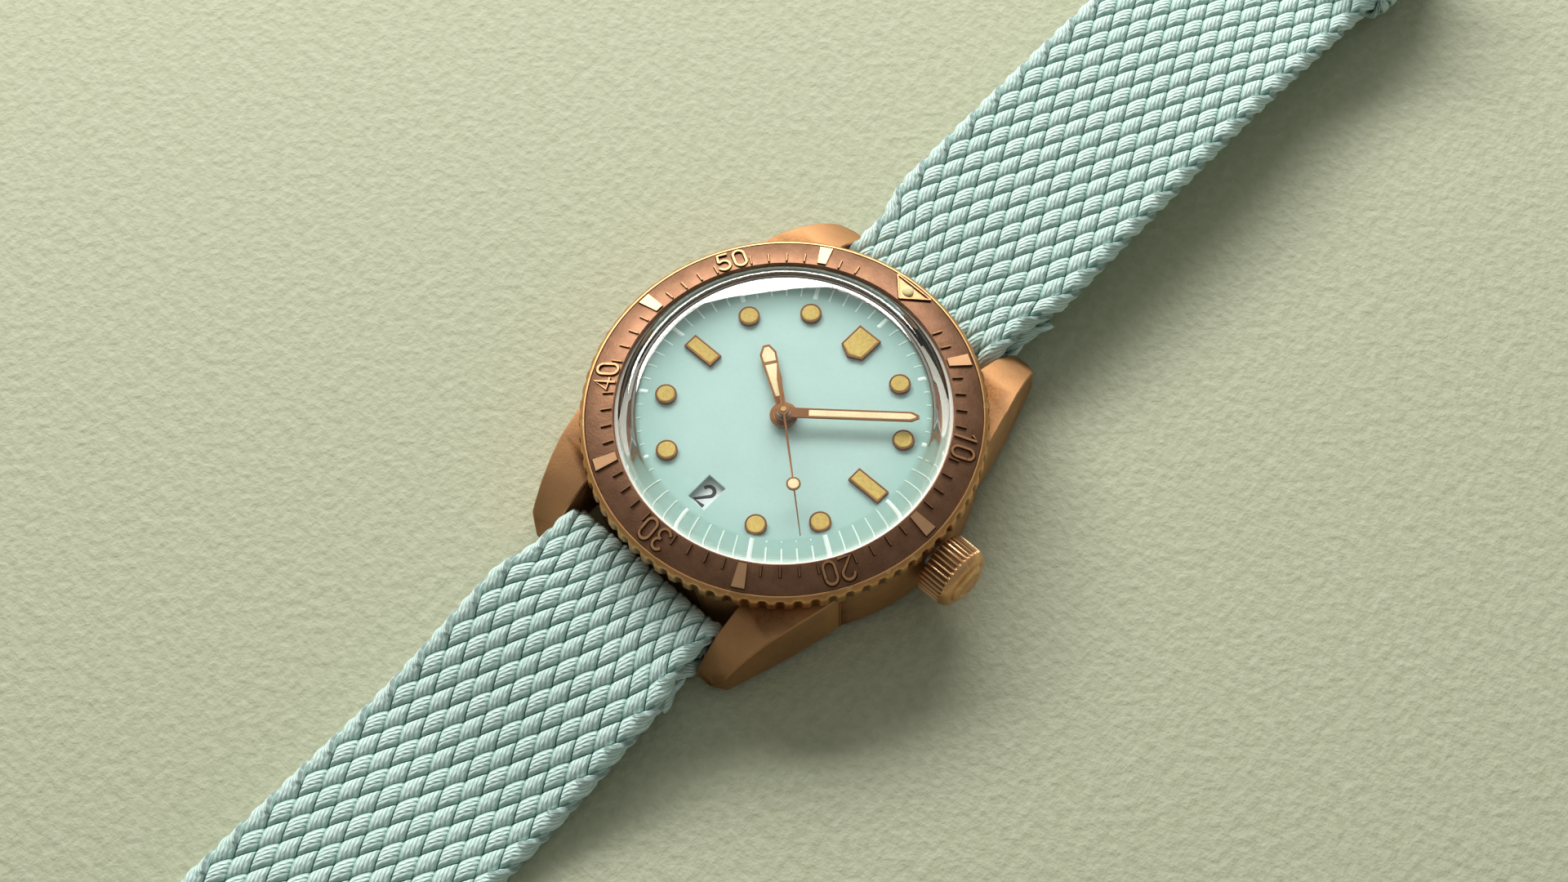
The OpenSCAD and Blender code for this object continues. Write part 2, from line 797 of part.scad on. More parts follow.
// Height of the strap's upper face at a distance y from the centre
function arch_top(y) =
    y < arch_y ? lug_top_z + arch_rise * sin(90 * (y - bar_y) / (arch_y - bar_y)) :
    y < slope_y ? lug_top_z + arch_rise - slope * pow(y - arch_y, 2) / (2 * (slope_y - arch_y)) :
    lug_top_z + arch_rise - slope * (slope_y - arch_y) / 2 - slope * (y - slope_y);
tail_fall_start = 22;
tail_fall_end = 46;
function tail_top(y) =
    y < tail_fall_start ? lug_top_z :
    y > tail_fall_end ? strap_t :
    strap_t + (lug_top_z - strap_t) * (1 + cos(180 * (y - tail_fall_start) / (tail_fall_end - tail_fall_start))) / 2;
// The folded end under the strap, from the spring bar to its stitching
fold_length = 7;
fold_t = 2.1;

// The lower face under the points of an upper face, running back towards the bar
function under_side(upper) = concat(
    [for (i = [len(upper) - 1:-1:0]) if (upper[i][0] > bar_y + fold_length) upper[i] - [0, strap_t]],
    [for (i = [len(upper) - 1:-1:0]) if (upper[i][0] <= bar_y + fold_length) upper[i] - [0, strap_t + fold_t]]
);

arch_ys = [for (y = [bar_y + 1.5:2.5:slope_y]) y];
tail_ys = [for (y = [bar_y + 1.5:2:tail_fall_end + 2]) y];

module strap_plan(length, tip_round) {
    n = strap_narrow_w / 2;
    w = strap_w / 2;
    neck = length - (tip_round ? 0 : 3.5);
    full = length - (tip_round ? 0 : 6);
    end = length + (tip_round ? 0 : buckle_loop_r + 1);
    translate([0, bar_y]) difference() {
        polygon([[-n, -loop_r - 1], [n, -loop_r - 1], [n, shoulder_start], [w, shoulder_end], [w, full],
                 [n, neck], [n, end], [-n, end], [-n, neck], [-w, full], [-w, shoulder_end],
                 [-n, shoulder_start]]);
        if (tip_round) difference() {
            translate([-20, length - 5.5]) square([40, 20]);
            translate([0, length - 14]) circle(r = 14, $fn = 96);
        }
    }
}

module strap_buckle_side() color(aqua) difference() {
    intersection() {
        union() {
            translate([0, bar_y, bar_z]) x_rod(loop_r, -15, 15);
            translate([0, buckle_y, buckle_z]) x_rod(buckle_loop_r, -15, 15);
            across(30) polygon(concat(
                [for (y = arch_ys) [y, arch_top(y)]],
                [[buckle_y, arch_top(buckle_y)], [buckle_y, arch_top(buckle_y) - strap_t]],
                under_side([for (y = arch_ys) [y, arch_top(y)]])
            ));
        }
        slab(-10, 20) strap_plan(buckle_side_length, false);
    }
    translate([0, bar_y, bar_z]) x_rod(bar_r, -20, 20);
    translate([0, buckle_y, buckle_z]) x_rod(buckle_bar_r + fit, -20, 20);
    translate([-1.5, buckle_y - 3.2, -10]) cube([3, 10, 20]);
}

module strap_tail_side() color(aqua) mirror([0, 1, 0]) difference() {
    intersection() {
        union() {
            translate([0, bar_y, bar_z]) x_rod(loop_r, -15, 15);
            across(30) polygon(concat(
                [for (y = tail_ys) [y, tail_top(y)]], [[160, strap_t], [160, 0]],
                under_side([for (y = tail_ys) [y, tail_top(y)]])
            ));
        }
        slab(-10, 20) strap_plan(tail_side_length, true);
    }
    translate([0, bar_y, bar_z]) x_rod(bar_r, -20, 20);
}

// Children are placed in the buckle's own frame: +Y away from the watch, tilted with the strap
module at_buckle() {
    translate([0, buckle_y, buckle_z]) rotate([-slope_angle, 0, 0]) children();
}

module buckle_frame() color(bronze) at_buckle() difference() {
    slab(-frame_t / 2, frame_t / 2) difference() {
        translate([-frame_out_w / 2, -1.6]) square([frame_out_w, frame_length + 1.6]);
        translate([-frame_in_w / 2, -3]) square([frame_in_w, frame_length + 3 - 2.6]);
        for (s = [-1, 1]) scale([s, 1]) difference() {
            translate([frame_out_w / 2 - 3, frame_length - 3]) square([4, 4]);
            translate([frame_out_w / 2 - 3, frame_length - 3]) circle(r = 3.02, $fn = 48);
        }
    }
    x_rod(buckle_bar_r, -14, 14);
    slab(frame_t / 2 - 0.5, 2) translate([-1.1, frame_length - 3]) square([2.2, 4]);
}

module buckle_bar() color(steel) at_buckle() x_rod(buckle_bar_r, -frame_out_w / 2 + 0.2, frame_out_w / 2 - 0.2);

module buckle_tongue() color(bronze) at_buckle() difference() {
    union() {
        x_rod(1.6, -1, 1);
        across(2) polygon([
            [0, 0.2], [0, 1.55], [frame_length - 2, 1.55], [frame_length + 0.4, 1.35],
            [frame_length + 0.4, 0.55], [frame_length - 3.2, 0.55], [frame_length - 4, 0.2]
        ]);
    }
    x_rod(buckle_bar_r + fit, -5, 5);
}

module keeper(s, room) {
    at_buckle() translate([0, -s, 0]) translate([0, keeper_w / 2, 0]) rotate([90, 0, 0])
        linear_extrude(height = keeper_w) translate([0, keeper_room / 2 - strap_t / 2]) difference() {
            square([strap_w + 2 * room + 2 * keeper_t, keeper_room + 2 * room + 2 * keeper_t], center = true);
            square([strap_w + 2 * room, keeper_room + 2 * room], center = true);
        }
}

module fixed_keeper() color(aqua) keeper(fixed_keeper_s, 0);

module free_keeper() color(aqua) keeper(free_keeper_s, 0.15);

// ---- Assembly ----

case_body();
case_back();
case_back_gasket();
crown_tube();
crown();
crown_gasket();
winding_stem();
bezel();
bezel_insert();
bezel_pip();
bezel_click_spring();
bezel_retaining_ring();
crystal();
crystal_gasket();
dial();
hour_markers();
hour_marker_lume();
movement_ring();
date_ring();
main_plate();
barrel();
mainspring();
barrel_arbor();
ratchet_wheel();
second_wheel();
third_wheel();
seconds_wheel();
escape_wheel();
pallet_fork();
balance_wheel();
hairspring();
balance_cock();
train_bridge();
barrel_bridge();
cannon_pinion();
hour_wheel();
minute_wheel();
rotor();
rotor_bearing();
jewels();
movement_screws();
hour_hand();
hour_hand_lume();
minute_hand();
minute_hand_lume();
second_hand();
second_hand_lume();
strap_buckle_side();
strap_tail_side();
spring_bar(1);  // spring_bar_12
spring_bar(-1);  // spring_bar_6
spring_bar_tip(1, 1);  // spring_bar_12_tip_right
spring_bar_tip(1, -1);  // spring_bar_12_tip_left
spring_bar_tip(-1, 1);  // spring_bar_6_tip_right
spring_bar_tip(-1, -1);  // spring_bar_6_tip_left
buckle_frame();
buckle_tongue();
buckle_bar();
fixed_keeper();
free_keeper();
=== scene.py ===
# %% [markdown]
# # A dive watch on a braided strap
# The watch's metal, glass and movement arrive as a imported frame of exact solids. This lesson gives them
# their looks, and makes the pieces that need a finer surface than the frame holds: the braid, the turning
# bezel with its raised minute scale, the crown, the domed crystal and the date figures.
# Sizes are in millimetres and are turned into metres in one place, where a mesh is made.

# %% Load the frame
import json
import math

import bmesh
import bpy
import numpy as np
from mathutils import Matrix, Vector


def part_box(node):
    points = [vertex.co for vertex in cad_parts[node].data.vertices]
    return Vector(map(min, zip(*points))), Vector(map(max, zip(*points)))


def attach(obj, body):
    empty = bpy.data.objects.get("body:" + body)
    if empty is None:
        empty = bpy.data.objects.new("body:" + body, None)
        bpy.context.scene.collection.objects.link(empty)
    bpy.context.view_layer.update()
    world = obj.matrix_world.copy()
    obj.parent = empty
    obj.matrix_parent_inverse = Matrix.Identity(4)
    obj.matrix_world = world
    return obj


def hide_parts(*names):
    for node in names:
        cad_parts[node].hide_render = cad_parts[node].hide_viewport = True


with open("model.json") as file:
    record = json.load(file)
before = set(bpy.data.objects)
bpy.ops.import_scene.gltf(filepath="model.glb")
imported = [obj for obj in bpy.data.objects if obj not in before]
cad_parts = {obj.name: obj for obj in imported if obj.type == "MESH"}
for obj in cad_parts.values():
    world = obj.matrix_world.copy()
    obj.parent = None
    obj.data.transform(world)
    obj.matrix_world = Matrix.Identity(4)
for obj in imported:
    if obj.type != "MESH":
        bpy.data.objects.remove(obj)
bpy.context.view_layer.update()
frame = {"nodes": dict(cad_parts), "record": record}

MM = 0.001
nodes = frame["nodes"]


def box_mm(node):
    """A node's lowest and highest corner in millimetres."""
    low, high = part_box(node)
    return np.array(low) / MM, np.array(high) / MM


def new_object(name, data):
    """An object for a mesh, a lamp or a camera, put in the scene."""
    made = bpy.data.objects.new(name, data)
    bpy.context.scene.collection.objects.link(made)
    return made


# %% [markdown]
# ## Camera, light and floor
# The watch lies flat and is seen from above its lower right, rolled so that the strap runs from corner to
# corner. A camera can be aimed with a constraint, but a matrix made of its three directions says the same
# thing with nothing left live. One wide low window between nine and twelve o'clock gives the soft shadow and
# the long bright arc in the crystal, and a pale sky fills the rest.

# %% Camera
camera_at = np.array([80.42, -77.35, 218.21])
aim_at = np.array([1.653, -1.765, 8.5])
roll = math.radians(-3.489)


def unit(v):
    """The vector with length one."""
    return v / np.linalg.norm(v, axis=-1, keepdims=True)


forward = unit(aim_at - camera_at)
level_right = unit(np.cross(forward, [0, 0, 1]))
level_up = np.cross(level_right, forward)
right = math.cos(roll) * level_right + math.sin(roll) * level_up
up = np.cross(right, forward)
camera_data = bpy.data.cameras.new("camera")
camera_data.lens = 59.05
camera_data.sensor_width = 36
camera_data.clip_start = 0.01
camera = new_object("camera", camera_data)
columns = [right, up, -forward, camera_at * MM]
camera.matrix_world = Matrix(np.column_stack(columns).tolist() + [[0, 0, 0, 1]])
bpy.context.scene.camera = camera

# %% Lights


def soft_light(name, at, target, wide, high, watts, tint):
    """A rectangular area light, with its two sizes in metres, at one point and facing another."""
    data = bpy.data.lights.new(name, "AREA")
    data.shape = "RECTANGLE"
    data.size = wide
    data.size_y = high
    data.energy = watts
    data.color = tint
    lamp = new_object(name, data)
    lamp.location = at
    lamp.rotation_euler = (Vector(target) - Vector(at)).to_track_quat("-Z", "Y").to_euler()


window_azimuth = math.radians(143)
window_height = math.radians(33)
window_distance = 0.55
window_at = window_distance * np.array([math.cos(window_azimuth) * math.cos(window_height),
                                        math.sin(window_azimuth) * math.cos(window_height),
                                        math.sin(window_height)])
soft_light("window_light", window_at, (0, 0, 0), 0.75, 0.16, 5.2, (1.0, 0.98, 0.94))
world = bpy.data.worlds.new("studio")
world.use_nodes = True
sky = world.node_tree.nodes["Background"].inputs
sky["Color"].default_value = (0.92, 0.93, 0.86, 1)
sky["Strength"].default_value = 0.28
bpy.context.scene.world = world
bpy.context.scene.view_settings.view_transform = "Standard"

# %% [markdown]
# ## Small tools for shader nodes
# A material is a tree of nodes. Adding a node, setting it and wiring it are always the same three moves, so
# one helper does them. Colours are written as people write them, in hex, and turned into linear light here.

# %% Node helpers


def linear(code, alpha=1.0):
    """A hex colour as the linear red, green, blue and alpha that shaders use."""
    parts = [int(code[i:i + 2], 16) / 255 for i in (1, 3, 5)]
    return tuple(c / 12.92 if c <= 0.04045 else ((c + 0.055) / 1.055) ** 2.4 for c in parts) + (alpha,)


def feed(tree, socket, value):
    """Gives a socket a value, or a link from another socket."""
    if isinstance(value, bpy.types.NodeSocket):
        tree.links.new(value, socket)
    else:
        socket.default_value = value


def add(tree, kind, inputs=(), **settings):
    """One new shader node with its settings, and each input given a value or a link."""
    made = tree.nodes.new("ShaderNode" + kind)
    for key, value in settings.items():
        setattr(made, key, value)
    for key, value in dict(inputs).items():
        feed(tree, made.inputs[key], value)
    return made


def maths(tree, operation, a, b=0.0, clamp=False):
    """The result of one sum on two numbers or sockets."""
    return add(tree, "Math", {0: a, 1: b}, operation=operation, use_clamp=clamp).outputs[0]


def blend_colour(tree, share, a, b):
    """Colour a turning into colour b as share goes from 0 to 1."""
    return add(tree, "Mix", {0: share, 6: a, 7: b}, data_type="RGBA").outputs[2]


def noise(tree, place, scale, detail, roughness=0.5):
    """A cloudy pattern of values about 0.5, with scale patterns to a metre."""
    inputs = {"Vector": place, "Scale": scale, "Detail": detail, "Roughness": roughness}
    return add(tree, "TexNoise", inputs).outputs["Fac"]


def stretched(tree, value, low, high, start=0.0, stop=1.0, smooth=False):
    """The range from low to high turned into the range from start to stop, and held at its ends outside."""
    inputs = {"Value": value, "From Min": low, "From Max": high, "To Min": start, "To Max": stop}
    kind = "SMOOTHSTEP" if smooth else "LINEAR"
    return add(tree, "MapRange", inputs, interpolation_type=kind).outputs["Result"]


def object_place(tree):
    """Where a point is on its piece, in metres."""
    return add(tree, "TexCoord").outputs["Object"]


def carried(tree, name):
    """A number that each point of the mesh carries under this name."""
    return add(tree, "Attribute", attribute_name=name).outputs["Fac"]


def new_group(name, inputs, outputs):
    """A shader node group with named sockets; a colour's default has four numbers."""
    group = bpy.data.node_groups.new(name, "ShaderNodeTree")
    for title, default in inputs.items():
        kind = "NodeSocketColor" if isinstance(default, tuple) else "NodeSocketFloat"
        group.interface.new_socket(name=title, in_out="INPUT", socket_type=kind).default_value = default
    for title, kind in outputs.items():
        group.interface.new_socket(name=title, in_out="OUTPUT", socket_type="NodeSocket" + kind)
    start = group.nodes.new("NodeGroupInput")
    end = group.nodes.new("NodeGroupOutput")
    return group, start.outputs, end.inputs


def give(group, result, **values):
    """Sends each named value out of a group."""
    for title, value in values.items():
        group.links.new(value, result[title])


def place_group(tree, group, inputs):
    """The outputs of a group placed in a material with its own values."""
    made = tree.nodes.new("ShaderNodeGroup")
    made.node_tree = group
    for key, value in inputs.items():
        feed(tree, made.inputs[key], value)
    return made.outputs


def new_material(name):
    """A material with one Principled shader, returned with its tree."""
    made = bpy.data.materials.new(name)
    made.use_nodes = True
    return made, made.node_tree, made.node_tree.nodes["Principled BSDF"]


def wire(tree, shader, **sources):
    """Links or sets the shader's sockets; an underscore in a name stands for a space."""
    for key, value in sources.items():
        feed(tree, shader.inputs[key.replace("_", " ")], value)


def bump(tree, height, distance_mm):
    """A normal from a height field, with its full height in millimetres."""
    return add(tree, "Bump", {"Height": height, "Distance": distance_mm * MM}).outputs["Normal"]


# %% [markdown]
# ## Shared effects
# Three effects come back in several materials, so each is a node group. Patina is what bronze does in air:
# dark brown in the hollows and in slow clouds, bright where edges rub. Grain is a fine even speckle that
# breaks up a plain surface. Yarn is the small twisted stitches on the face of a textile cord.

# %% Patina group
patina, given, result = new_group(
    "patina",
    {"Metal": (0.5, 0.3, 0.2, 1), "Tarnish": (0.1, 0.05, 0.03, 1), "Rubbed": (0.8, 0.5, 0.3, 1),
     "Cloud size": 2.0, "Tarnish share": 0.5, "Wear": 0.5},
    {"Color": "Color", "Roughness": "Float", "Height": "Float"},
)
clouds = noise(patina, object_place(patina), maths(patina, "DIVIDE", 1 / MM, given["Cloud size"]), 5.0, 0.6)
specks = noise(patina, object_place(patina), 4200.0, 3.0, 0.7)
mottle = maths(patina, "ADD", clouds, maths(patina, "MULTIPLY", specks, 0.35))
tarnish = stretched(patina, mottle, 0.48, 0.86)
tarnish = maths(patina, "MULTIPLY", tarnish, given["Tarnish share"], clamp=True)
rubbed = stretched(patina, add(patina, "NewGeometry").outputs["Pointiness"], 0.505, 0.56)
rubbed = maths(patina, "MULTIPLY", rubbed, given["Wear"], clamp=True)
tone = blend_colour(patina, tarnish, given["Metal"], given["Tarnish"])
rough = stretched(patina, tarnish, 0.0, 1.0, 0.36, 0.56)
give(patina, result, Color=blend_colour(patina, rubbed, tone, given["Rubbed"]), Height=specks,
     Roughness=maths(patina, "SUBTRACT", rough, maths(patina, "MULTIPLY", rubbed, 0.12)))

# %% Grain group
grain, given, result = new_group(
    "grain",
    {"Light": (1, 1, 1, 1), "Dark": (0.8, 0.8, 0.8, 1), "Grain size": 0.2, "Stretch": 1.0},
    {"Color": "Color", "Roughness": "Float", "Height": "Float"},
)
stretch = add(grain, "CombineXYZ", {0: given["Stretch"], 1: 1.0, 2: 1.0}).outputs[0]
place = add(grain, "VectorMath", {0: object_place(grain), 1: stretch}, operation="MULTIPLY").outputs[0]
grain_scale = maths(grain, "DIVIDE", 1 / MM, given["Grain size"])
speckle = noise(grain, place, grain_scale, 4.0, 0.65)
slow = noise(grain, place, maths(grain, "DIVIDE", grain_scale, 14.0), 2.0)
mixed = maths(grain, "ADD", maths(grain, "MULTIPLY", speckle, 0.6), maths(grain, "MULTIPLY", slow, 0.4))
share = stretched(grain, mixed, 0.35, 0.65)
give(grain, result, Color=blend_colour(grain, share, given["Dark"], given["Light"]), Height=speckle,
     Roughness=stretched(grain, share, 0.0, 1.0, 0.42, 0.28))

# %% Yarn group
yarn, given, result = new_group(
    "yarn",
    {"Stitch length": 0.62, "Stitch width": 0.27},
    {"Ply": "Float", "Height": "Float"},
)
cord_uv = add(yarn, "TexCoord").outputs["UV"]
split = add(yarn, "SeparateXYZ", {0: cord_uv})
lane = maths(yarn, "DIVIDE", split.outputs[0], given["Stitch width"])
lean = maths(yarn, "SUBTRACT", maths(yarn, "FRACT", lane), 0.5)
handed = maths(yarn, "PINGPONG", maths(yarn, "FLOOR", lane), 1.0)
handed = maths(yarn, "SUBTRACT", maths(yarn, "MULTIPLY", handed, 2.0), 1.0)
along = maths(yarn, "DIVIDE", split.outputs[1], given["Stitch length"])
along = maths(yarn, "ADD", along, maths(yarn, "MULTIPLY", maths(yarn, "MULTIPLY", lean, handed), 0.8))
wave = maths(yarn, "SINE", maths(yarn, "MULTIPLY", along, 2 * math.pi))
twist = maths(yarn, "ADD", maths(yarn, "MULTIPLY", wave, 0.225), 0.775)
valley = maths(yarn, "POWER", maths(yarn, "ABSOLUTE", maths(yarn, "MULTIPLY", lean, 2.0)), 2.0)
ply = maths(yarn, "MULTIPLY", maths(yarn, "SUBTRACT", 1.0, valley), twist)
fuzz = maths(yarn, "MULTIPLY", noise(yarn, cord_uv, 9.0, 4.0, 0.7), 0.35)
give(yarn, result, Ply=ply, Height=maths(yarn, "ADD", ply, fuzz))
print("shared effects:", [group.name for group in (patina, grain, yarn)])

# %% [markdown]
# ## The finishes
# Every finish starts from the Principled shader. Bronze is metallic with patina colours, steel and brass get
# a stretched grain that reads as brushing, the dial is a satin lacquer, and luminous paint is rough and
# sandy. The crystal bends light, and lets shadow rays through so that the dial under it is lit.

# %% Metals


def bronze_finish(name, metal, tarnish, rubbed, cloud, share, wear, bump_mm, roughness=None):
    """Bronze with patina: base colour, roughness and a fine pitting from the shared group.

    Where a piece carries its hollows number, the metal darkens: tarnish in cut bottoms, painted shade at
    raised feet.
    """
    made, tree, shader = new_material(name)
    out = place_group(tree, patina, {
        "Metal": linear(metal), "Tarnish": linear(tarnish), "Rubbed": linear(rubbed),
        "Cloud size": cloud, "Tarnish share": share, "Wear": wear})
    rough = out["Roughness"] if roughness is None else roughness
    # Darkened by the hollows number: real tarnish in the cuts, painted shade round the feet of raised marks.
    tone = blend_colour(tree, carried(tree, "hollow"), out["Color"], linear("#2C1A10"))
    wire(tree, shader, Base_Color=tone, Roughness=rough, Metallic=1.0,
         Normal=bump(tree, out["Height"], bump_mm))
    return made


def grained(tree, light, dark, size, stretch=1.0):
    """The grain group in a material: two hex colours, and the grain's size in millimetres."""
    return place_group(tree, grain, {"Light": linear(light), "Dark": linear(dark), "Grain size": size,
                                     "Stretch": stretch})


def brushed_finish(name, light, dark, size, stretch):
    """A plain metal whose grain is stretched into brush lines."""
    made, tree, shader = new_material(name)
    out = grained(tree, light, dark, size, stretch)
    wire(tree, shader, Base_Color=out["Color"], Roughness=out["Roughness"], Metallic=1.0,
         Normal=bump(tree, out["Height"], 0.003))
    return made


case_bronze = bronze_finish("case_bronze", "#A87648", "#64422C", "#D8A878", 3.2, 1.0, 0.8, 0.02, 0.6)
coin_edge_bronze = bronze_finish("coin_edge_bronze", "#D9A066", "#A06636", "#F3C892", 2.0, 0.6, 0.6, 0.006)
# The crown's bronze is paler than the case's: partly its polish, partly painted light for the bright
# reflections on it.
crown_bronze_with_painted_light = bronze_finish("crown_bronze_with_painted_light", "#E4B07C", "#A8733F", "#F6CFA0", 1.6, 0.5, 0.8, 0.006)
insert_bronze = bronze_finish("insert_bronze", "#926C55", "#664736", "#B38A6C", 2.4, 0.9, 0.2, 0.025, 0.5)
relief_bronze = bronze_finish("relief_bronze", "#C49870", "#A0714E", "#DCB088", 1.5, 0.5, 0.6, 0.01, 0.46)
marker_bronze = bronze_finish("marker_bronze", "#7A4A2C", "#4E2E1A", "#A87048", 1.0, 0.5, 0.4, 0.003)
hand_bronze = bronze_finish("hand_bronze", "#80502F", "#5A3722", "#C08858", 1.0, 0.3, 0.6, 0.002)
steel = brushed_finish("steel", "#D2D4D4", "#A4A8AA", 0.25, 0.12)
gilt_brass = brushed_finish("gilt_brass", "#E0BE7A", "#BE9450", 0.3, 0.3)
blued_steel = brushed_finish("blued_steel", "#5A7FC0", "#2E4A86", 0.3, 0.3)

# %% Paints, rubber and stone


def painted_finish(name, light, dark, size, bump_mm, roughness, coat=0.0):
    """A coloured matt surface with a fine speckle in its colour and height."""
    made, tree, shader = new_material(name)
    out = grained(tree, light, dark, size)
    wire(tree, shader, Base_Color=out["Color"], Roughness=roughness, Coat_Weight=coat,
         Normal=bump(tree, out["Height"], bump_mm))
    return made


marker_lume = painted_finish("marker_lume", "#CCAD54", "#B0903A", 0.3, 0.05, 0.7)
hand_lume = painted_finish("hand_lume", "#F2DDB4", "#E0C492", 0.14, 0.015, 0.65)
pip_lume = painted_finish("pip_lume", "#F7EAB8", "#EAD898", 0.14, 0.02, 0.6)
rubber = painted_finish("rubber", "#303030", "#202020", 0.12, 0.01, 0.6)
seal_plastic = painted_finish("seal_plastic", "#EFECE4", "#DEDACF", 0.2, 0.004, 0.4)
date_disc = painted_finish("date_disc", "#DFE4E4", "#CDD3D4", 0.3, 0.003, 0.45)
date_ink = painted_finish("date_ink", "#141414", "#0A0A0A", 0.1, 0.002, 0.5)
track_paint = painted_finish("track_paint", "#E4F4EE", "#CFE8E0", 0.2, 0.004, 0.4)
ruby = painted_finish("ruby", "#C8304C", "#A01C38", 0.4, 0.001, 0.12, coat=0.6)
tab_leather = painted_finish("tab_leather", "#A9CFC6", "#8DBAB0", 0.35, 0.05, 0.6)

# %% Dial lacquer: paler in the middle, deeper towards the rim
dial_lacquer, tree, shader = new_material("dial_lacquer")
out = grained(tree, "#A8C5C0", "#A1BEB9", 0.25)
flat_place = add(tree, "VectorMath", {0: object_place(tree), 1: (1, 1, 0)}, operation="MULTIPLY").outputs[0]
reach = add(tree, "VectorMath", {0: flat_place}, operation="LENGTH").outputs["Value"]
rim_share = stretched(tree, reach, 0.0085, 0.0148, 0.0, 0.75, smooth=True)
wire(tree, shader, Base_Color=blend_colour(tree, rim_share, out["Color"], linear("#86B0A8")), Roughness=0.38,
     Coat_Weight=0.25, Normal=bump(tree, out["Height"], 0.0015))

# %% Crystal glass
crystal_glass, tree, shader = new_material("crystal_glass")
wire(tree, shader, Base_Color=(0.97, 0.99, 0.99, 1), Roughness=0.0, IOR=1.77, Transmission_Weight=1.0)
is_shadow = add(tree, "LightPath").outputs["Is Shadow Ray"]
clear = add(tree, "BsdfTransparent", {"Color": (0.93, 0.95, 0.95, 1)}).outputs[0]
both = add(tree, "MixShader", {0: is_shadow, 1: shader.outputs[0], 2: clear}).outputs[0]
tree.links.new(both, tree.nodes["Material Output"].inputs["Surface"])

# %% Braid yarn: paler on the crowns of the strands, with painted shade where they dive under, on their sides and between plies
braid_yarn, tree, shader = new_material("braid_yarn")
stitches = place_group(tree, yarn, {"Stitch length": 0.8, "Stitch width": 0.36})
body_colour = blend_colour(tree, carried(tree, "tint"), linear("#D9F3EE"), linear("#E5FAF6"))
# Painted shade in the creases between the yarn's plies.
ply_crease_shade_share = stretched(tree, stitches["Ply"], 0.1, 0.75)
body_colour = blend_colour(tree, ply_crease_shade_share, linear("#B2D6CD"), body_colour)
# Painted shade: darker green where a strand dives under its neighbours.
dive_shade_share = stretched(tree, carried(tree, "dive_shade_height"), 0.1, 0.6, smooth=True)
body_colour = blend_colour(tree, dive_shade_share, linear("#659C91"), body_colour)
# Painted shade on the strands' sides, next to the gaps between them.
flank_shade_share = stretched(tree, carried(tree, "flank_shade"), 0.8, 1.0, smooth=True)
body_colour = blend_colour(tree, flank_shade_share, body_colour, linear("#6BA095"))
wire(tree, shader, Base_Color=body_colour, Roughness=0.75, Sheen_Weight=0.2, Sheen_Roughness=0.5,
     Sheen_Tint=(0.9, 1.0, 0.97, 1), Normal=bump(tree, stitches["Height"], 0.09))
print(len(bpy.data.materials), "materials")

# %% [markdown]
# ## Small tools for meshes
# Every new piece is a sheet of points on a grid: rows follow one direction of the surface and columns the
# other. The helpers number the grid's four-cornered faces, put points and faces into a mesh, and turn a
# closed surface the right way out, which is told from the sign of the volume that it encloses.

# %% Mesh helpers


def grid_faces(rows, columns, wrap_rows=False, wrap_columns=False):
    """Corner numbers of the faces of a grid of points, joined round where it wraps."""
    r = np.arange(rows if wrap_rows else rows - 1)
    c = np.arange(columns if wrap_columns else columns - 1)
    r, c = (part.ravel() for part in np.meshgrid(r, c, indexing="ij"))
    this_ring = r * columns
    next_ring = (r + 1) % rows * columns
    c_next = (c + 1) % columns
    return np.stack([this_ring + c, this_ring + c_next, next_ring + c_next, next_ring + c], 1)


def enclosed(points, quads):
    """Six times the volume inside a closed surface of four-cornered faces; negative if it is inside out."""
    a, b, c, d = (points[quads[:, i]] for i in range(4))
    return np.einsum("ij,ij->", a, np.cross(b, c)) + np.einsum("ij,ij->", a, np.cross(c, d))


def make_piece(name, points, quads, caps=(), uv=None, values=None, sharp=40.0):
    """A mesh object from points in millimetres, faces of four corners, and caps with any number of corners.

    uv gives each point a place on the pattern, and values gives named numbers to each point.
    """
    points = np.asarray(points, float).reshape(-1, 3)
    quads = np.asarray(quads)
    caps = [list(cap) for cap in caps]
    middle = points.mean(0)
    if enclosed(points - middle, quads) < 0:
        quads = quads[:, ::-1]
        caps = [cap[::-1] for cap in caps]
    mesh = bpy.data.meshes.new(name)
    mesh.from_pydata((points * MM).tolist(), [], quads.tolist() + caps)
    if uv is not None:
        corners = np.zeros(len(mesh.loops), np.int32)
        mesh.loops.foreach_get("vertex_index", corners)
        mesh.uv_layers.new(name="UVMap").uv.foreach_set("vector", np.asarray(uv, np.float32)[corners].ravel())
    for key, numbers in (values or {}).items():
        carrier = mesh.attributes.new(key, "FLOAT", "POINT")
        carrier.data.foreach_set("value", np.asarray(numbers, np.float32).ravel())
    mesh.shade_smooth()
    mesh.set_sharp_from_angle(angle=math.radians(sharp))
    return new_object(name, mesh)


def tube(grid):
    """A grid of points with one ring to a row, as flat points, faces, and the caps that close both ends."""
    rows, columns = grid.shape[:2]
    first = list(range(columns))
    last = list(range(columns * (rows - 1), columns * rows))
    return grid.reshape(-1, 3), grid_faces(rows, columns, False, True), [first[::-1], last]


def dress(piece, material, body, slot, *replaced):
    """Gives a piece its finish and the body it moves with, and hides the node it replaces; slot is not used.
    """
    piece.data.materials.clear()
    piece.data.materials.append(material)
    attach(piece, body)
    if replaced:
        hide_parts(*replaced)
    print(piece.name, "has", len(piece.data.polygons), "faces")
    return piece


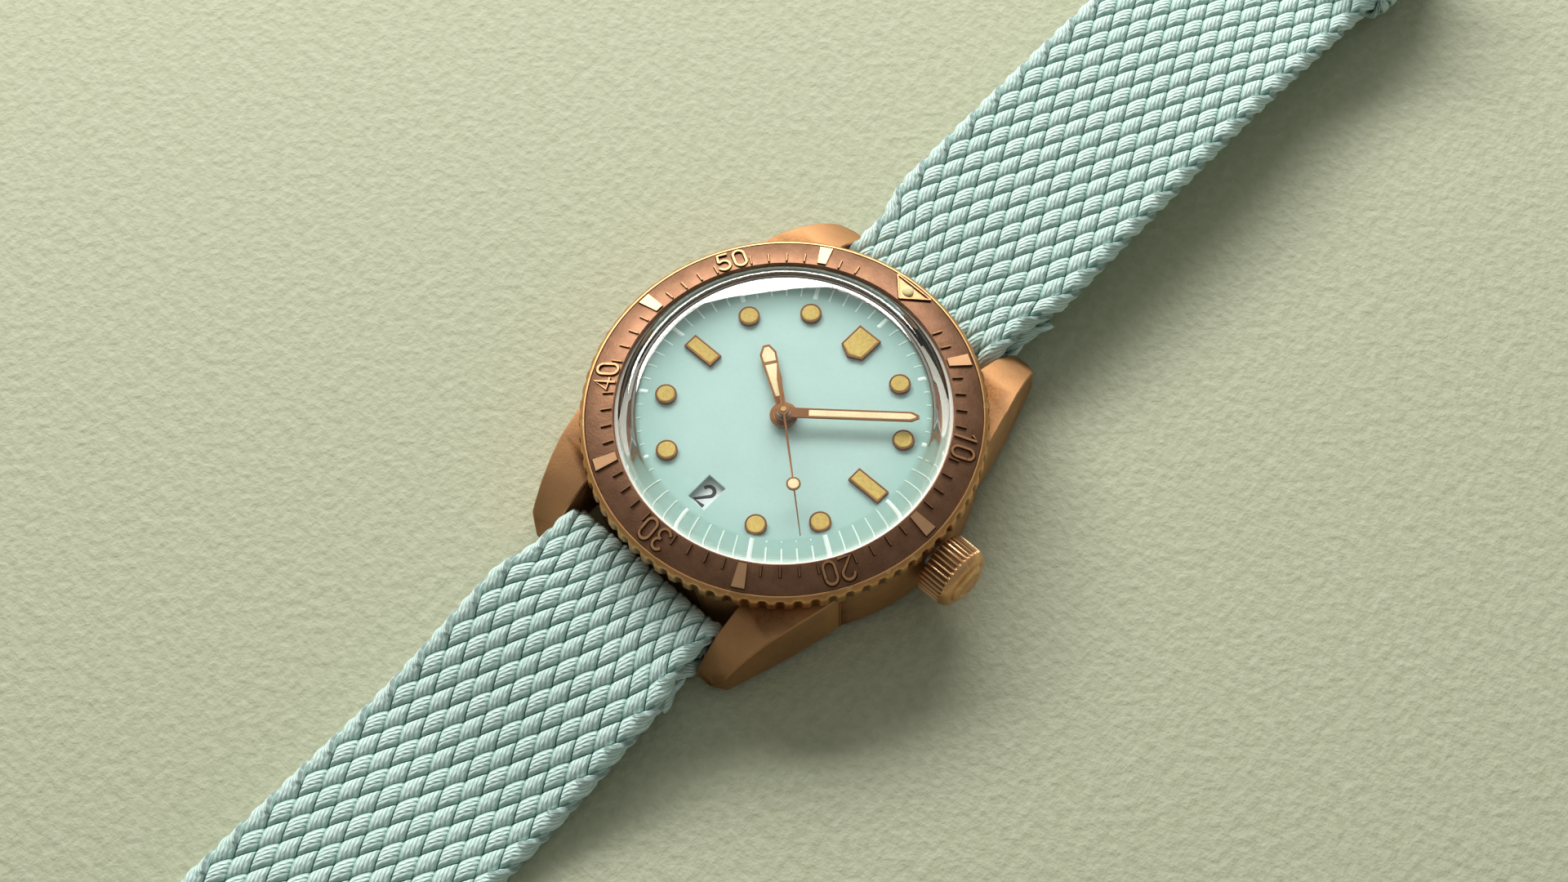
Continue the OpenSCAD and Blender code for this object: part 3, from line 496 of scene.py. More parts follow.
def turned_surface(profile, angles, radius_change=None):
    """A profile of (radius, height) points carried round the Z axis through the angles, in radians.

    radius_change gives, for each profile point and angle, how much the radius grows there.
    """
    radius = profile[:, :1] + (0 if radius_change is None else radius_change)
    radius = np.broadcast_to(radius, (len(profile), len(angles)))
    height = np.broadcast_to(profile[:, 1:], radius.shape)
    return np.stack([radius * np.cos(angles), radius * np.sin(angles), height], -1)


def eased(value, start, stop):
    """0 before start, 1 after stop, and a smooth rise between them."""
    u = np.clip((value - start) / (stop - start), 0, 1)
    return u * u * (3 - 2 * u)


def full_turn(count):
    """Evenly spaced angles once round."""
    return np.arange(count) * 2 * np.pi / count


def from_nearest(angles, count):
    """How far each angle is from the nearest of count evenly spaced marks."""
    pitch = 2 * np.pi / count
    return np.mod(angles + pitch / 2, pitch) - pitch / 2


def squared(value, power):
    """The value with its size raised to a power and its sign kept; low powers square a circle off."""
    return np.sign(value) * np.abs(value) ** power


# %% [markdown]
# ## Smoother copies of CAD pieces
# The frame's meshes are loose triangles with knife edges, and nothing real has a knife edge. A merged copy
# with a small bevel catches a line of light along each edge, and weighted normals keep its flat faces flat.
# The copy replaces its node, because the frame itself never changes.

# %% Bevelled copies


def softened(node, name, finish, body, slot, edge_mm, segments=2, angle=32.0, clamp=False):
    """A merged copy of a CAD node, dressed, with its flat areas joined and its edges rounded.

    Only edges sharper than the angle are rounded. clamp stops the bevel where short edges have no room.
    """
    mesh = nodes[node].data.copy()
    work = bmesh.new()
    work.from_mesh(mesh)
    bmesh.ops.remove_doubles(work, verts=work.verts, dist=1e-6)
    bmesh.ops.dissolve_limit(work, angle_limit=math.radians(0.05), verts=work.verts, edges=work.edges)
    work.to_mesh(mesh)
    work.free()
    if "custom_normal" in mesh.attributes:
        mesh.attributes.remove(mesh.attributes["custom_normal"])
    mesh.name = name
    mesh.shade_smooth()
    mesh.set_sharp_from_angle(angle=math.radians(angle))
    piece = new_object(name, mesh)
    bevel = piece.modifiers.new("edges", "BEVEL")
    bevel.width = edge_mm * MM
    bevel.segments = segments
    bevel.limit_method = "ANGLE"
    bevel.angle_limit = math.radians(angle)
    bevel.use_clamp_overlap = clamp
    even = piece.modifiers.new("flat faces", "WEIGHTED_NORMAL")
    even.keep_sharp = True
    dress(piece, finish, body, slot, node)


softened("case_body", "case_body_finished", case_bronze, "case", "bronze_case", 0.14, angle=20.0)
softened("case_back", "case_back_finished", case_bronze, "case", "bronze_case", 0.1, angle=20.0)
softened("dial", "dial_finished", dial_lacquer, "case", "dial_paint", 0.06)
softened("hour_markers", "hour_marker_frames", marker_bronze, "case", "bronze_polished", 0.03)
softened("hour_marker_lume", "hour_marker_paint", marker_lume, "case", "marker_lume", 0.1, segments=3)
for hand, body in (("hour_hand", "hours"), ("minute_hand", "minutes"), ("second_hand", "seconds")):
    softened(hand, hand + "_finished", hand_bronze, body, "hand_bronze", 0.035)
    softened(hand + "_lume", hand + "_paint", hand_lume, body, "hand_lume", 0.03)
softened("buckle_frame", "buckle_frame_finished", case_bronze, "buckle", "bronze_case", 0.3, clamp=True)
softened("buckle_tongue", "buckle_tongue_finished", case_bronze, "tongue", "bronze_case", 0.14)

# %% [markdown]
# ## The turning bezel
# The bezel's outside is a coin edge: a row of round scallops cut into the ring, running out in the bevel
# under its rim. A turned surface whose radius dips at each scallop makes it in one piece. The cut is the arc
# of a round cutter, so its depth follows a circle, and old tarnish stays in its bottom.

# %% Bezel ring
bezel_low, bezel_high = box_mm("bezel")
bezel_r = bezel_high[0]
insert_low, insert_high = box_mm("bezel_insert")
insert_r = insert_high[0]
neck_r = 16.35
scallops = 75
cutter_r = 0.45
cutter_reach = 0.3
angles = full_turn(scallops * 12)
ring_profile = np.array([
    [neck_r, bezel_low[2]], [bezel_r - 0.35, bezel_low[2]], [bezel_r - 0.1, bezel_low[2] + 0.08],
    [bezel_r, bezel_low[2] + 0.3], [bezel_r, bezel_high[2] - 0.7], [bezel_r - 0.03, bezel_high[2] - 0.5],
    [bezel_r - 0.12, bezel_high[2] - 0.32], [bezel_r - 0.24, bezel_high[2] - 0.18],
    [bezel_r - 0.36, bezel_high[2] - 0.08], [bezel_r - 0.45, bezel_high[2] - 0.02],
    [bezel_r - 0.5, bezel_high[2]], [insert_r + 0.06, bezel_high[2]], [insert_r + 0.04, bezel_high[2] - 0.06],
    [insert_r + 0.04, insert_low[2]], [neck_r, insert_low[2]],
])
aside = from_nearest(angles, scallops) * bezel_r
cut = np.clip(np.sqrt(np.maximum(cutter_r ** 2 - aside ** 2, 0)) - cutter_r + cutter_reach, 0, None)
cut_share = np.zeros((len(ring_profile), 1))
cut_share[1:7, 0] = [0.5, 1, 1, 1, 0.7, 0.2]
ring_points = turned_surface(ring_profile, angles, -cut_share * cut)
ring_faces = grid_faces(len(ring_profile), len(angles), True, True)
hollow = np.clip(cut_share * cut / cutter_reach, 0, 1) * 0.5
dress(make_piece("bezel_ring", ring_points, ring_faces, values={"hollow": hollow}), coin_edge_bronze, "bezel",
      "bronze_polished", "bezel")

# %% [markdown]
# ## The bezel insert and its raised scale
# The insert is a shallow cone of darker bronze, and its minute scale stands up from it: ticks, blocks,
# a triangle and the figures ten to fifty. The figures are generic one-line shapes built from arcs and
# straight strokes. A stroke becomes a low ridge by carrying a section with six corners along it.
# The feet and sides of the raised marks are painted darker, as shade.

# %% Insert cone
cone_in_r = 15.6
cone_top_z = insert_high[2]
cone_low_z = 9.4
insert_profile = np.array([
    [cone_in_r, 9.65], [cone_in_r, cone_top_z - 0.1], [cone_in_r + 0.12, cone_top_z],
    [insert_r - 0.1, cone_low_z + 0.03], [insert_r, cone_low_z - 0.08], [insert_r, insert_low[2]],
    [neck_r, insert_low[2]], [neck_r, 9.65],
])
cone_points = turned_surface(insert_profile, full_turn(240))
dress(make_piece("bezel_insert_cone", cone_points, grid_faces(*cone_points.shape[:2], True, True)),
      insert_bronze, "bezel", "bronze_insert", "bezel_insert")


def cone_height(radius):
    """Height of the insert's upper face at a distance from the axis."""
    return cone_top_z + (cone_low_z - cone_top_z) * (radius - cone_in_r) / (insert_r - cone_in_r)


# %% Figures drawn as strokes, in a box 1 wide and 2 high about its middle


def arc(cx, cy, rx, ry, start, stop, count=14):
    """Points along part of an ellipse, from one angle to another in degrees."""
    a = np.radians(np.linspace(start, stop, count))
    return np.stack([cx + rx * np.cos(a), cy + ry * np.sin(a)], 1)


def line(*corners):
    """A stroke through a few corners."""
    return np.array(corners, float)


def joined(*runs):
    """Several runs of points as one stroke."""
    return np.concatenate(runs)


FIGURES = {
    "0": [joined(arc(0, 0.45, 0.5, 0.55, 0, 180), arc(0, -0.45, 0.5, 0.55, 180, 360), line((0.5, 0.45)))],
    "1": [line((-0.3, 0.6), (0.08, 1), (0.08, -1))],
    "2": [joined(arc(0, 0.48, 0.5, 0.52, 170, -30), line((-0.48, -1), (0.52, -1)))],
    "3": [joined(arc(-0.02, 0.5, 0.46, 0.5, 150, -90), arc(-0.02, -0.48, 0.52, 0.52, 90, -150))],
    "4": [line((0.22, -1), (0.22, 1), (-0.52, -0.42), (0.52, -0.42))],
    "5": [joined(line((0.42, 1), (-0.36, 1), (-0.42, 0.1)), arc(-0.02, -0.4, 0.52, 0.6, 130, -145))],
    "6": [joined(arc(0.3, -0.4, 0.8, 1.4, 90, 180), arc(0, -0.45, 0.5, 0.55, 180, 540, 24))],
    "7": [line((-0.5, 1), (0.5, 1), (-0.12, -1))],
    "8": [arc(0, 0.5, 0.42, 0.5, -90, 270, 22), arc(0, -0.5, 0.5, 0.5, 90, 450, 22)],
    "9": [joined(arc(-0.3, 0.4, 0.8, 1.4, 270, 360), arc(0, 0.45, 0.5, 0.55, 0, 360, 24))],
}


def ridge(stroke, width, place_on, height, foot=0.12):
    """A low ridge along a stroke: six points across, from a wide foot up to a flat top, and closed ends.

    place_on turns flat points and heights into points in space. Returns points, faces, end caps, and how much
    painted shade each point takes, which is 1 at the foot, where shade falls, and 0 on top.
    """
    along = np.gradient(stroke, axis=0)
    along = along / np.maximum(np.linalg.norm(along, axis=1, keepdims=True), 1e-9)
    aside = np.stack([-along[:, 1], along[:, 0]], 1)
    stroke = stroke.copy()
    stroke[0] -= along[0] * width * 0.35
    stroke[-1] += along[-1] * width * 0.35
    half = width / 2
    top = max(half - 0.05, half * 0.6)
    offsets = np.array([-half - foot, -half, -top, top, half, half + foot])
    flat = stroke[:, None, :] + aside[:, None, :] * offsets[None, :, None]
    lifted = np.broadcast_to(np.array([0, 0.35, 1, 1, 0.35, 0]) * height, flat.shape[:2])
    # Painted shade: full on the ridge's foot and sloping sides, none on its top.
    hollow = np.broadcast_to(np.array([1.0, 1, 0, 0, 1, 1]), flat.shape[:2])
    points = place_on(flat.reshape(-1, 2), lifted.ravel())
    return *tube(points.reshape(len(stroke), 6, 3)), hollow.ravel()


def gather(parts):
    """Several (points, faces, caps, painted shade shares) as one set, with each part's corner numbers moved
    along.
    """
    points, faces, caps, painted_shade_shares, start = [], [], [], [], 0
    for part_points, part_faces, part_caps, part_shade_shares in parts:
        points.append(part_points)
        faces.append(part_faces + start)
        caps += [[corner + start for corner in cap] for cap in part_caps]
        painted_shade_shares.append(part_shade_shares)
        start += len(part_points)
    return np.concatenate(points), np.concatenate(faces), caps, {"hollow": np.concatenate(painted_shade_shares)}


# %% The raised minute scale
relief_h = 0.22


def at_minute(minute, height_at, sink, stretch=1.0):
    """Turns flat points, x clockwise and y outwards, into points at a minute mark of a round face.

    height_at gives the face's height at a radius. The foot is sunk into the face, and lifts are stretched.
    """
    angle = math.radians(90 - 6 * minute)
    outward = np.array([math.cos(angle), math.sin(angle)])
    clockwise = np.array([math.sin(angle), -math.cos(angle)])

    def place_on(flat, lift):
        spot = flat[:, :1] * clockwise + flat[:, 1:] * outward
        return np.column_stack([spot, height_at(np.linalg.norm(spot, axis=1)) - sink + lift * stretch])
    return place_on


def on_cone(minute, sink=0.05):
    """at_minute for the insert, with tops that still stand relief_h high over the sunken feet."""
    return at_minute(minute, cone_height, sink, (relief_h + sink) / relief_h)


def plate(outline, place_on, height, draw_in=0.06, foot=0.12):
    """A raised plate from a flat outline: a wide foot, an edge, a slightly smaller top, and the top's cap."""
    outline = np.asarray(outline, float)
    middle = outline.mean(0)
    reach = (outline - middle) / np.linalg.norm(outline - middle, axis=1, keepdims=True)
    rings = np.concatenate([outline + reach * foot, outline, outline - reach * draw_in])
    count = len(outline)
    points = place_on(rings, np.repeat([0.0, 0.35 * height, height], count))
    # The last numbers are painted shade: full on the plate's foot and edge, none on its top.
    return *tube(points.reshape(3, count, 3)), np.repeat([1.0, 1.0, 0.0], count)


figure_middle = 16.95
figure_h = 2.0
figure_w = 1.08
figure_gap = 0.8
stroke_w = 0.32
tick_w = 0.2
tick = line((0, 15.95), (0, 16.4), (0, 16.8))
block = [(-0.42, 15.88), (0.42, 15.88), (0.64, 18.12), (-0.64, 18.12)]
parts = []
for minute in range(60):
    if minute % 5 and 2 < minute < 58:
        points, faces, caps, hollow = ridge(tick, tick_w, on_cone(minute), relief_h)
        # The ticks are darkened all over by at least 0.4: painted shade for their dark shadowed look.
        parts.append((points, faces, caps, np.maximum(hollow, 0.4)))
for minute in range(10, 60, 10):
    for side, figure in ((-1, str(minute)[0]), (1, "0")):
        for stroke in FIGURES[figure]:
            shape = stroke * [figure_w, figure_h / 2] + [side * figure_gap, figure_middle]
            parts.append(ridge(shape, stroke_w, on_cone(minute), relief_h))
for minute in range(5, 60, 10):
    parts.append(plate(block, on_cone(minute), relief_h))
triangle = line((-2.1, 18.05), (2.1, 18.05), (0, 15.9), (-2.1, 18.05))
parts.append(plate([(-1.9, 17.95), (1.9, 17.95), (0, 16.0)], on_cone(0), relief_h * 0.5))
for start, stop in zip(triangle[:-1], triangle[1:]):
    run = start + (stop - start) * np.linspace(0.03, 0.97, 12)[:, None]
    parts.append(ridge(run, 0.22, on_cone(0), relief_h))
points, faces, caps, painted_shade_shares = gather(parts)
dress(make_piece("bezel_minute_scale", points, faces, caps, values=painted_shade_shares, sharp=25), relief_bronze, "bezel",
      "bronze_insert")

# %% The pip at twelve: a small dome of luminous paint
pip_low, pip_high = box_mm("bezel_pip")
pip_middle = (pip_low + pip_high) / 2
pip_r = (pip_high[0] - pip_low[0]) / 2
bow = np.radians([0, 15, 30, 45, 60, 75, 86])
pip_rise = 0.16
pip_dome = np.stack([pip_r * (0.25 + 0.75 * np.cos(bow)), pip_high[2] - pip_rise * (1 - np.sin(bow))], 1)
pip_profile = np.concatenate([[[pip_r, pip_low[2]]], pip_dome, [[0.02, pip_high[2]]]])
pip_points = turned_surface(pip_profile, full_turn(32)) + [pip_middle[0], pip_middle[1], 0]
dress(make_piece("bezel_pip_paint", *tube(pip_points)), pip_lume, "bezel", "marker_lume", "bezel_pip")

# %% [markdown]
# ## The crystal
# The crystal is a thick sapphire box with a low dome and a rounded shoulder. Its shoulder is what makes the
# bright ring round the dial, so the profile is worked out from arcs and turned with many steps. The inside
# is hollow with the same curve, as a real domed crystal is.

# %% Crystal
glass_low, glass_high = box_mm("crystal")
glass_r = glass_high[0]
wall = 1.0
shoulder_r = 1.6
dome_edge_r = 13.9
dome_rise = 1.3
dome_r = (dome_edge_r ** 2 + dome_rise ** 2) / (2 * dome_rise)
pole_r = 0.05


def dome_height(radius, top):
    """Height of a dome of radius dome_r whose highest point is top."""
    return top - dome_r + np.sqrt(dome_r ** 2 - radius ** 2)


shoulder_x = glass_r - shoulder_r
shoulder_z = dome_height(shoulder_x, glass_high[2]) - shoulder_r * 0.985
bend = np.radians(np.linspace(0, 80, 12))
outer_x = np.linspace(shoulder_x, pole_r, 22)
outer = np.concatenate([
    [[glass_r - 0.1, glass_low[2]], [glass_r, glass_low[2] + 0.1]],
    np.stack([shoulder_x + shoulder_r * np.cos(bend), shoulder_z + shoulder_r * np.sin(bend)], 1),
    np.stack([outer_x, dome_height(outer_x, glass_high[2])], 1),
])
inner_r = glass_r - wall
inner_top = glass_high[2] - 1.5
corner_r = 1.4
inner_x = np.linspace(pole_r, inner_r - corner_r, 20)
corner = np.radians(np.linspace(84, 0, 16))
corner_h = dome_height(inner_r - corner_r, inner_top) - glass_low[2]
inner = np.concatenate([
    np.stack([inner_x, dome_height(inner_x, inner_top)], 1),
    np.stack([inner_r - corner_r + corner_r * np.cos(corner), glass_low[2] + corner_h * np.sin(corner)], 1),
])
glass_points = turned_surface(np.concatenate([inner, outer]), full_turn(192))
dress(make_piece("crystal_dome", *tube(glass_points), sharp=60), crystal_glass, "case", "crystal_glass",
      "crystal")

# %% [markdown]
# ## The minute track and the date figures
# The dial's minute marks are a thin print, paler than the lacquer, on the slope near the rim. The date disc
# under the dial carries all the days from 1 to 31, though only one shows, because the disc turns.

# %% Minute track
dial_z = box_mm("dial")[1][2]
flat_r = 12.4
dial_r = 15.0
dial_fall = 0.5


def dial_height(radius):
    """Height of the dial's face, which falls away outside its flat middle."""
    u = np.clip((radius - flat_r) / (dial_r - flat_r), 0, 1)
    return dial_z - dial_fall * u ** 2


long_mark = (0.42, 13.0, 13.9)
short_mark = (0.14, 13.0, 14.1)
parts = []
for minute in range(60):
    width, start, stop = short_mark if minute % 5 else long_mark
    run = np.stack([np.zeros(6), np.linspace(start, stop, 6)], 1)
    parts.append(ridge(run, width, at_minute(minute, dial_height, 0.02), 0.05, foot=0.02))
dress(make_piece("minute_track", *gather(parts)[:3]), track_paint, "case", "dial_paint")

# %% Date figures, upright where they pass six o'clock
disc_z = box_mm("date_ring")[1][2]
days = 31
shown_day = 2
date_r = 10.18
date_half_h = 0.95
date_pitch = 0.95
parts = []
for day in range(1, days + 1):
    text = str(day)
    wide = 1.05 if len(text) == 1 else 0.66
    on_disc = at_minute(30 + (shown_day - day) * 60 / days, lambda radius: disc_z + 0 * radius, -0.002)
    for place, figure in enumerate(text):
        shift = (place - (len(text) - 1) / 2) * date_pitch
        for stroke in FIGURES[figure]:
            upright = stroke * [wide, date_half_h] + [shift - 0.15, -0.1]
            parts.append(ridge([0, date_r] - upright, 0.34, on_disc, 0.012, foot=0.01))
dress(make_piece("date_figures", *gather(parts)[:3]), date_ink, "date_ring", "date_print")

# %% [markdown]
# ## The crown
# The crown is a turned knob whose side is cut with straight ridges for the fingertips, and whose end is a
# plain low dome with one turned step. Again the radius dips in a round cut at each ridge, and the cut runs
# out before the dome. It is turned about Z first and then laid along X, with no object rotation left over.

# %% Crown
crown_low, crown_high = box_mm("crown")
crown_axis_z = (crown_low[2] + crown_high[2]) / 2
crown_r = (crown_high[2] - crown_low[2]) / 2
crown_start = crown_low[0]
knurl_end = crown_start + 2.55
ridges = 36
dome_bend = np.radians(np.linspace(10, 78, 8))
dome_z = knurl_end + 0.14
crown_profile = np.concatenate([
    [[0.6, crown_start], [crown_r - 0.3, crown_start], [crown_r - 0.08, crown_start + 0.08],
     [crown_r, crown_start + 0.28], [crown_r, knurl_end - 0.15], [crown_r - 0.03, knurl_end],
     [crown_r - 0.06, dome_z]],
    np.stack([crown_r - 0.1 - 0.95 * (1 - np.cos(dome_bend)), dome_z + 0.72 * np.sin(dome_bend)], 1),
    [[crown_r - 0.98, dome_z + 0.7], [crown_r - 1.04, dome_z + 0.8], [crown_r - 1.3, dome_z + 0.98],
     [crown_r - 1.6, dome_z + 1.08], [crown_r - 1.7, dome_z + 1.08]],
])
angles = full_turn(ridges * 12)
groove_deep = 0.24
aside = from_nearest(angles, ridges) * ridges / np.pi
groove = groove_deep * np.clip(1 - (aside / 0.72) ** 2, 0, None) ** 0.8
groove_share = np.zeros((len(crown_profile), 1))
groove_share[1:6, 0] = [0.8, 1, 1, 1, 0.7]
turned = turned_surface(crown_profile, angles, -groove_share * groove)
points = np.stack([turned[..., 2], turned[..., 1], turned[..., 0] + crown_axis_z], -1)
hollow = groove_share * groove / groove_deep * 0.7
dress(make_piece("crown_knob", *tube(points), values={"hollow": hollow}), crown_bronze_with_painted_light, "crown",
      "bronze_polished", "crown")

# %% [markdown]
# ## The braid
# The strap is a flat braid: every strand runs slantwise to one edge, turns under there and slants back,
# passing over and under the strands that slant the other way. A picture of a weave would be flat and its
# edge straight, so the strands are modelled. A strand's place across the strap is a zigzag of its step
# number, its height is a cosine of the same number, and at an edge it stands up and turns under. The flat
# braid is then bent along the strap's path, round the spring bar and back underneath.

# %% One braid along a path
# Where the rings of a strand sit within one step: close together where it dives between its neighbours
RING_PLACES = np.array([0.0, 0.32, 0.43, 0.5, 0.57, 0.68])
SECTION_POINTS = 10


def even_path(points, extras, spacing):
    """The same path with evenly spaced points, and each extra number carried along with it."""
    lengths = np.concatenate([[0], np.cumsum(np.linalg.norm(np.diff(points, axis=0), axis=1))])
    count = int(round(lengths[-1] / spacing)) + 1
    spots = np.linspace(0, lengths[-1], count)
    moved = np.stack([np.interp(spots, lengths, points[:, i]) for i in range(3)], 1)
    return moved, [np.interp(spots, lengths, extra) for extra in extras], lengths[-1]


def braid(name, path, across, widths, thicks, cells, step, strand_half, strand_thick, lift, closed=False):
    """A flat braid bent along a path.

    cells is the number of steps from edge to edge, which is also the number of strands. path has points in
    millimetres, widths the braid's width and thicks its thickness as a share, at each point of the path.
    Strand k at step t sits at phase t + 2k. Its place across rises with the phase to the far edge and falls
    back. Its height is lift times a cosine to a low power, so that it lies flat on top and dives fast.
    A ring of points round the strand is slanted along the strands that it crosses, so the dive follows
    their edges. Near an edge of the braid the strand follows a half turn about the braid's length.
    """
    fine_step = 8
    fine, (wide, thick), length = even_path(path, (widths, thicks), step / fine_step)
    steps = int(round(length / step))
    t = (np.arange(steps)[:, None] + RING_PLACES).ravel()
    t = np.append(t, steps)[None, :]
    phase = np.mod(t + 2 * np.arange(cells)[:, None], 2 * cells)
    going = np.where(phase <= cells, 1.0, -1.0)
    place = np.where(phase <= cells, phase, 2 * cells - phase)
    wave = np.cos(np.pi * phase)
    height = going * lift * squared(wave, 0.4)
    lean = np.where(going > 0, 0.0, np.pi)
    far = phase - cells
    near = np.where(phase > cells, phase - 2 * cells, phase)
    at_far = np.abs(far) < 1
    at_near = np.abs(near) < 1
    place = np.where(at_far, cells - (far ** 2 + 1) / 2, np.where(at_near, (near ** 2 + 1) / 2, place))
    turn = np.where(at_far, far, near)
    at_edge = at_far | at_near
    height = np.where(at_edge, lift * np.cos(np.pi * (turn + 1) / 2), height)
    lean = np.where(at_far, np.pi * (far + 1) / 2, np.where(at_near, np.pi - np.pi * (near + 1) / 2, lean))
    flat_w = 2 * strand_thick + cells - 1
    middle = np.stack([place - cells / 2, np.broadcast_to(t * step, place.shape), height], -1)
    level = unit(np.gradient(middle * [1, 1, 0], axis=1))
    face = np.stack([np.sin(lean), np.zeros_like(lean), np.cos(lean)], -1)
    side = unit(np.cross(level, face))
    face = np.cross(side, level)
    slant = math.atan2(1, step)
    crossing = np.stack([going, np.full_like(going, -step), 0 * going], -1) / math.hypot(1, step)
    edge_share = np.where(at_edge, eased(1 - np.abs(turn), 0.0, 0.45), 0.0)[..., None]
    side = side * edge_share + crossing * (1 - edge_share) / math.sin(2 * slant)
    around = full_turn(SECTION_POINTS) + np.pi / SECTION_POINTS
    sideways = squared(np.cos(around), 0.7) * strand_half
    upright = squared(np.sin(around), 0.6) * strand_thick
    grid = middle[:, :, None] + side[:, :, None] * sideways[:, None] + face[:, :, None] * upright[:, None]
    last = len(fine) - 1
    along = grid[..., 1] / (steps * step) * last
    along = np.mod(along, last) if closed else np.clip(along, 0, last)
    low = np.minimum(along.astype(int), last - 1)
    share = along - low

    def at_spot(values):
        """Values of the path at each point of the braid, between its two nearest path points."""
        part = share if values.ndim == 1 else share[..., None]
        return values[low] * (1 - part) + values[low + 1] * part

    outward = unit(np.cross(across, unit(np.gradient(fine, axis=0))))
    sidestep = across * (grid[..., 0] * at_spot(wide) / flat_w)[..., None]
    points = at_spot(fine) + sidestep + unit(at_spot(outward)) * (grid[..., 2] * at_spot(thick))[..., None]
    points, faces, ends, _ = gather([(*tube(strand), np.zeros(0)) for strand in points])
    on_table = middle * [1, 1, 0]
    paces = np.diff(on_table, axis=1, prepend=on_table[:, :1])
    travelled = np.cumsum(np.linalg.norm(paces, axis=2), axis=1)
    shear = (1 - edge_share[..., 0]) * math.cos(2 * slant)
    girth = np.where(upright > 0, sideways, 2 * strand_half - sideways)
    uv = np.stack([np.broadcast_to(girth, share.shape),
                   travelled[:, :, None] - shear[:, :, None] * sideways / math.sin(2 * slant)], -1)
    # Numbers for the yarn's painted shade: low where a strand dives under its neighbours, and rising towards
    # its sides.
    inside = 1 - edge_share
    dive_shade_height = np.clip(np.abs(grid[..., 2]) / (lift + strand_thick), 0, 1) * inside + 0.9 * (1 - inside)
    flank_shade = np.abs(sideways) / strand_half * inside
    tint = np.broadcast_to(np.random.default_rng(7).random(cells)[:, None, None], share.shape)
    print(name, "is", round(length, 1), "mm of braid with", cells, "strands")
    return make_piece(name, points, faces, ends, uv=uv.reshape(-1, 2),
                      values={"dive_shade_height": dive_shade_height, "flank_shade": flank_shade, "tint": tint}, sharp=180)


# %% The strap's own path: the heights of its upper face, then the way through the loop at the spring bar
bar_low, bar_high = box_mm("spring_bar_12")
bar_y = (bar_low[1] + bar_high[1]) / 2
bar_z = (bar_low[2] + bar_high[2]) / 2
strap_low, strap_high = box_mm("strap_buckle_side")
strap_w = strap_high[0] - strap_low[0]
strap_t = 2.6
lug_top = bar_z + 2.9
buckle_bar_low, buckle_bar_high = box_mm("buckle_bar")
buckle_y = (buckle_bar_low[1] + buckle_bar_high[1]) / 2
buckle_z = (buckle_bar_low[2] + buckle_bar_high[2]) / 2
arch_y = 55.0
arch_rise = 1.4
slope_y = 63.0
slope = 0.11
narrow_w = 18.6
loop_r = 1.86
loop_thick = 0.83
fold_reach = 6.6
FOLD_POINTS = 30
LOOP_POINTS = 24


def arch_top(y):
    """Upper face of the buckle half: it rises, levels out and then slopes down to the buckle."""
    rising = lug_top + arch_rise * np.sin(np.pi / 2 * np.clip((y - bar_y) / (arch_y - bar_y), 0, 1))
    bending = slope * np.clip(y - arch_y, 0, slope_y - arch_y) ** 2 / (2 * (slope_y - arch_y))
    return rising - bending - slope * np.clip(y - slope_y, 0, None)


def tail_top(y):
    """Upper face of the tail half: down from the lugs onto the table in one smooth fall."""
    return strap_t + (lug_top - strap_t) * (1 - eased(y, 22.0, 46.0))


def half_path(top, reach):
    """Path of one half, from its fold under the strap, round the spring bar and out along the top.

    Returns distances y, heights z, and the thickness share at each point.
    """
    y_low = np.linspace(bar_y + fold_reach, bar_y, FOLD_POINTS)
    under = top(y_low) - strap_t - 1.02
    lift_off = eased(y_low, bar_y, bar_y + 4.5)
    z_low = (bar_z - loop_r) * (1 - lift_off) + under * lift_off
    around = np.radians(np.linspace(-86, 86, LOOP_POINTS))
    y_top = np.linspace(bar_y, reach, int(reach - bar_y) * 3)
    full = loop_thick + (1 - loop_thick) * eased(y_top, bar_y, bar_y + 4)
    loop_over = bar_z + loop_r - lug_top + loop_thick * strap_t / 2
    z_top = top(y_top) - full * (strap_t / 2) + loop_over * (1 - eased(y_top, bar_y, bar_y + 2))
    y = np.concatenate([y_low, bar_y - loop_r * np.cos(around), y_top])
    z = np.concatenate([z_low, bar_z + loop_r * np.sin(around), z_top])
    thick = np.concatenate([np.full(FOLD_POINTS, 0.74), np.full(LOOP_POINTS, loop_thick), full])
    return y, z, thick


def strap_width(y):
    """Width of the strap: pinched between the lugs, full beyond them."""
    return narrow_w + (strap_w - narrow_w) * eased(y, bar_y + 2.5, bar_y + 8)


# %% The two halves of the strap
# Cells from edge to edge, step, strand's half width and half thickness, and lift
STRAP_BRAID = (21, 1.875, 0.9, 0.5, 0.56)
X_AXIS = np.array([1.0, 0, 0])
tab_start = buckle_y - 6
y, z, thick = half_path(arch_top, tab_start + 2.5)
thick = thick * (1 - 0.55 * eased(y, tab_start - 1, tab_start + 1.5))
path = np.stack([np.zeros_like(y), y, z], 1)
upper_braid = braid("strap_braid_buckle_side", path, X_AXIS, strap_width(y), thick, *STRAP_BRAID)
dress(upper_braid, braid_yarn, "strap_12", "braid", "strap_buckle_side")

tail_end = -box_mm("strap_tail_side")[0][1]
y, z, thick = half_path(tail_top, tail_end - 6.8)
into_tab = eased(y, tail_end - 9.5, tail_end - 8)
thick = thick * (1 - 0.3 * into_tab)
widths = strap_width(y) - into_tab
path = np.stack([np.zeros_like(y), -y, z], 1)[::-1]
lower_braid = braid("strap_braid_tail_side", path, X_AXIS, widths[::-1], thick[::-1], *STRAP_BRAID)
dress(lower_braid, braid_yarn, "strap_6", "braid", "strap_tail_side")

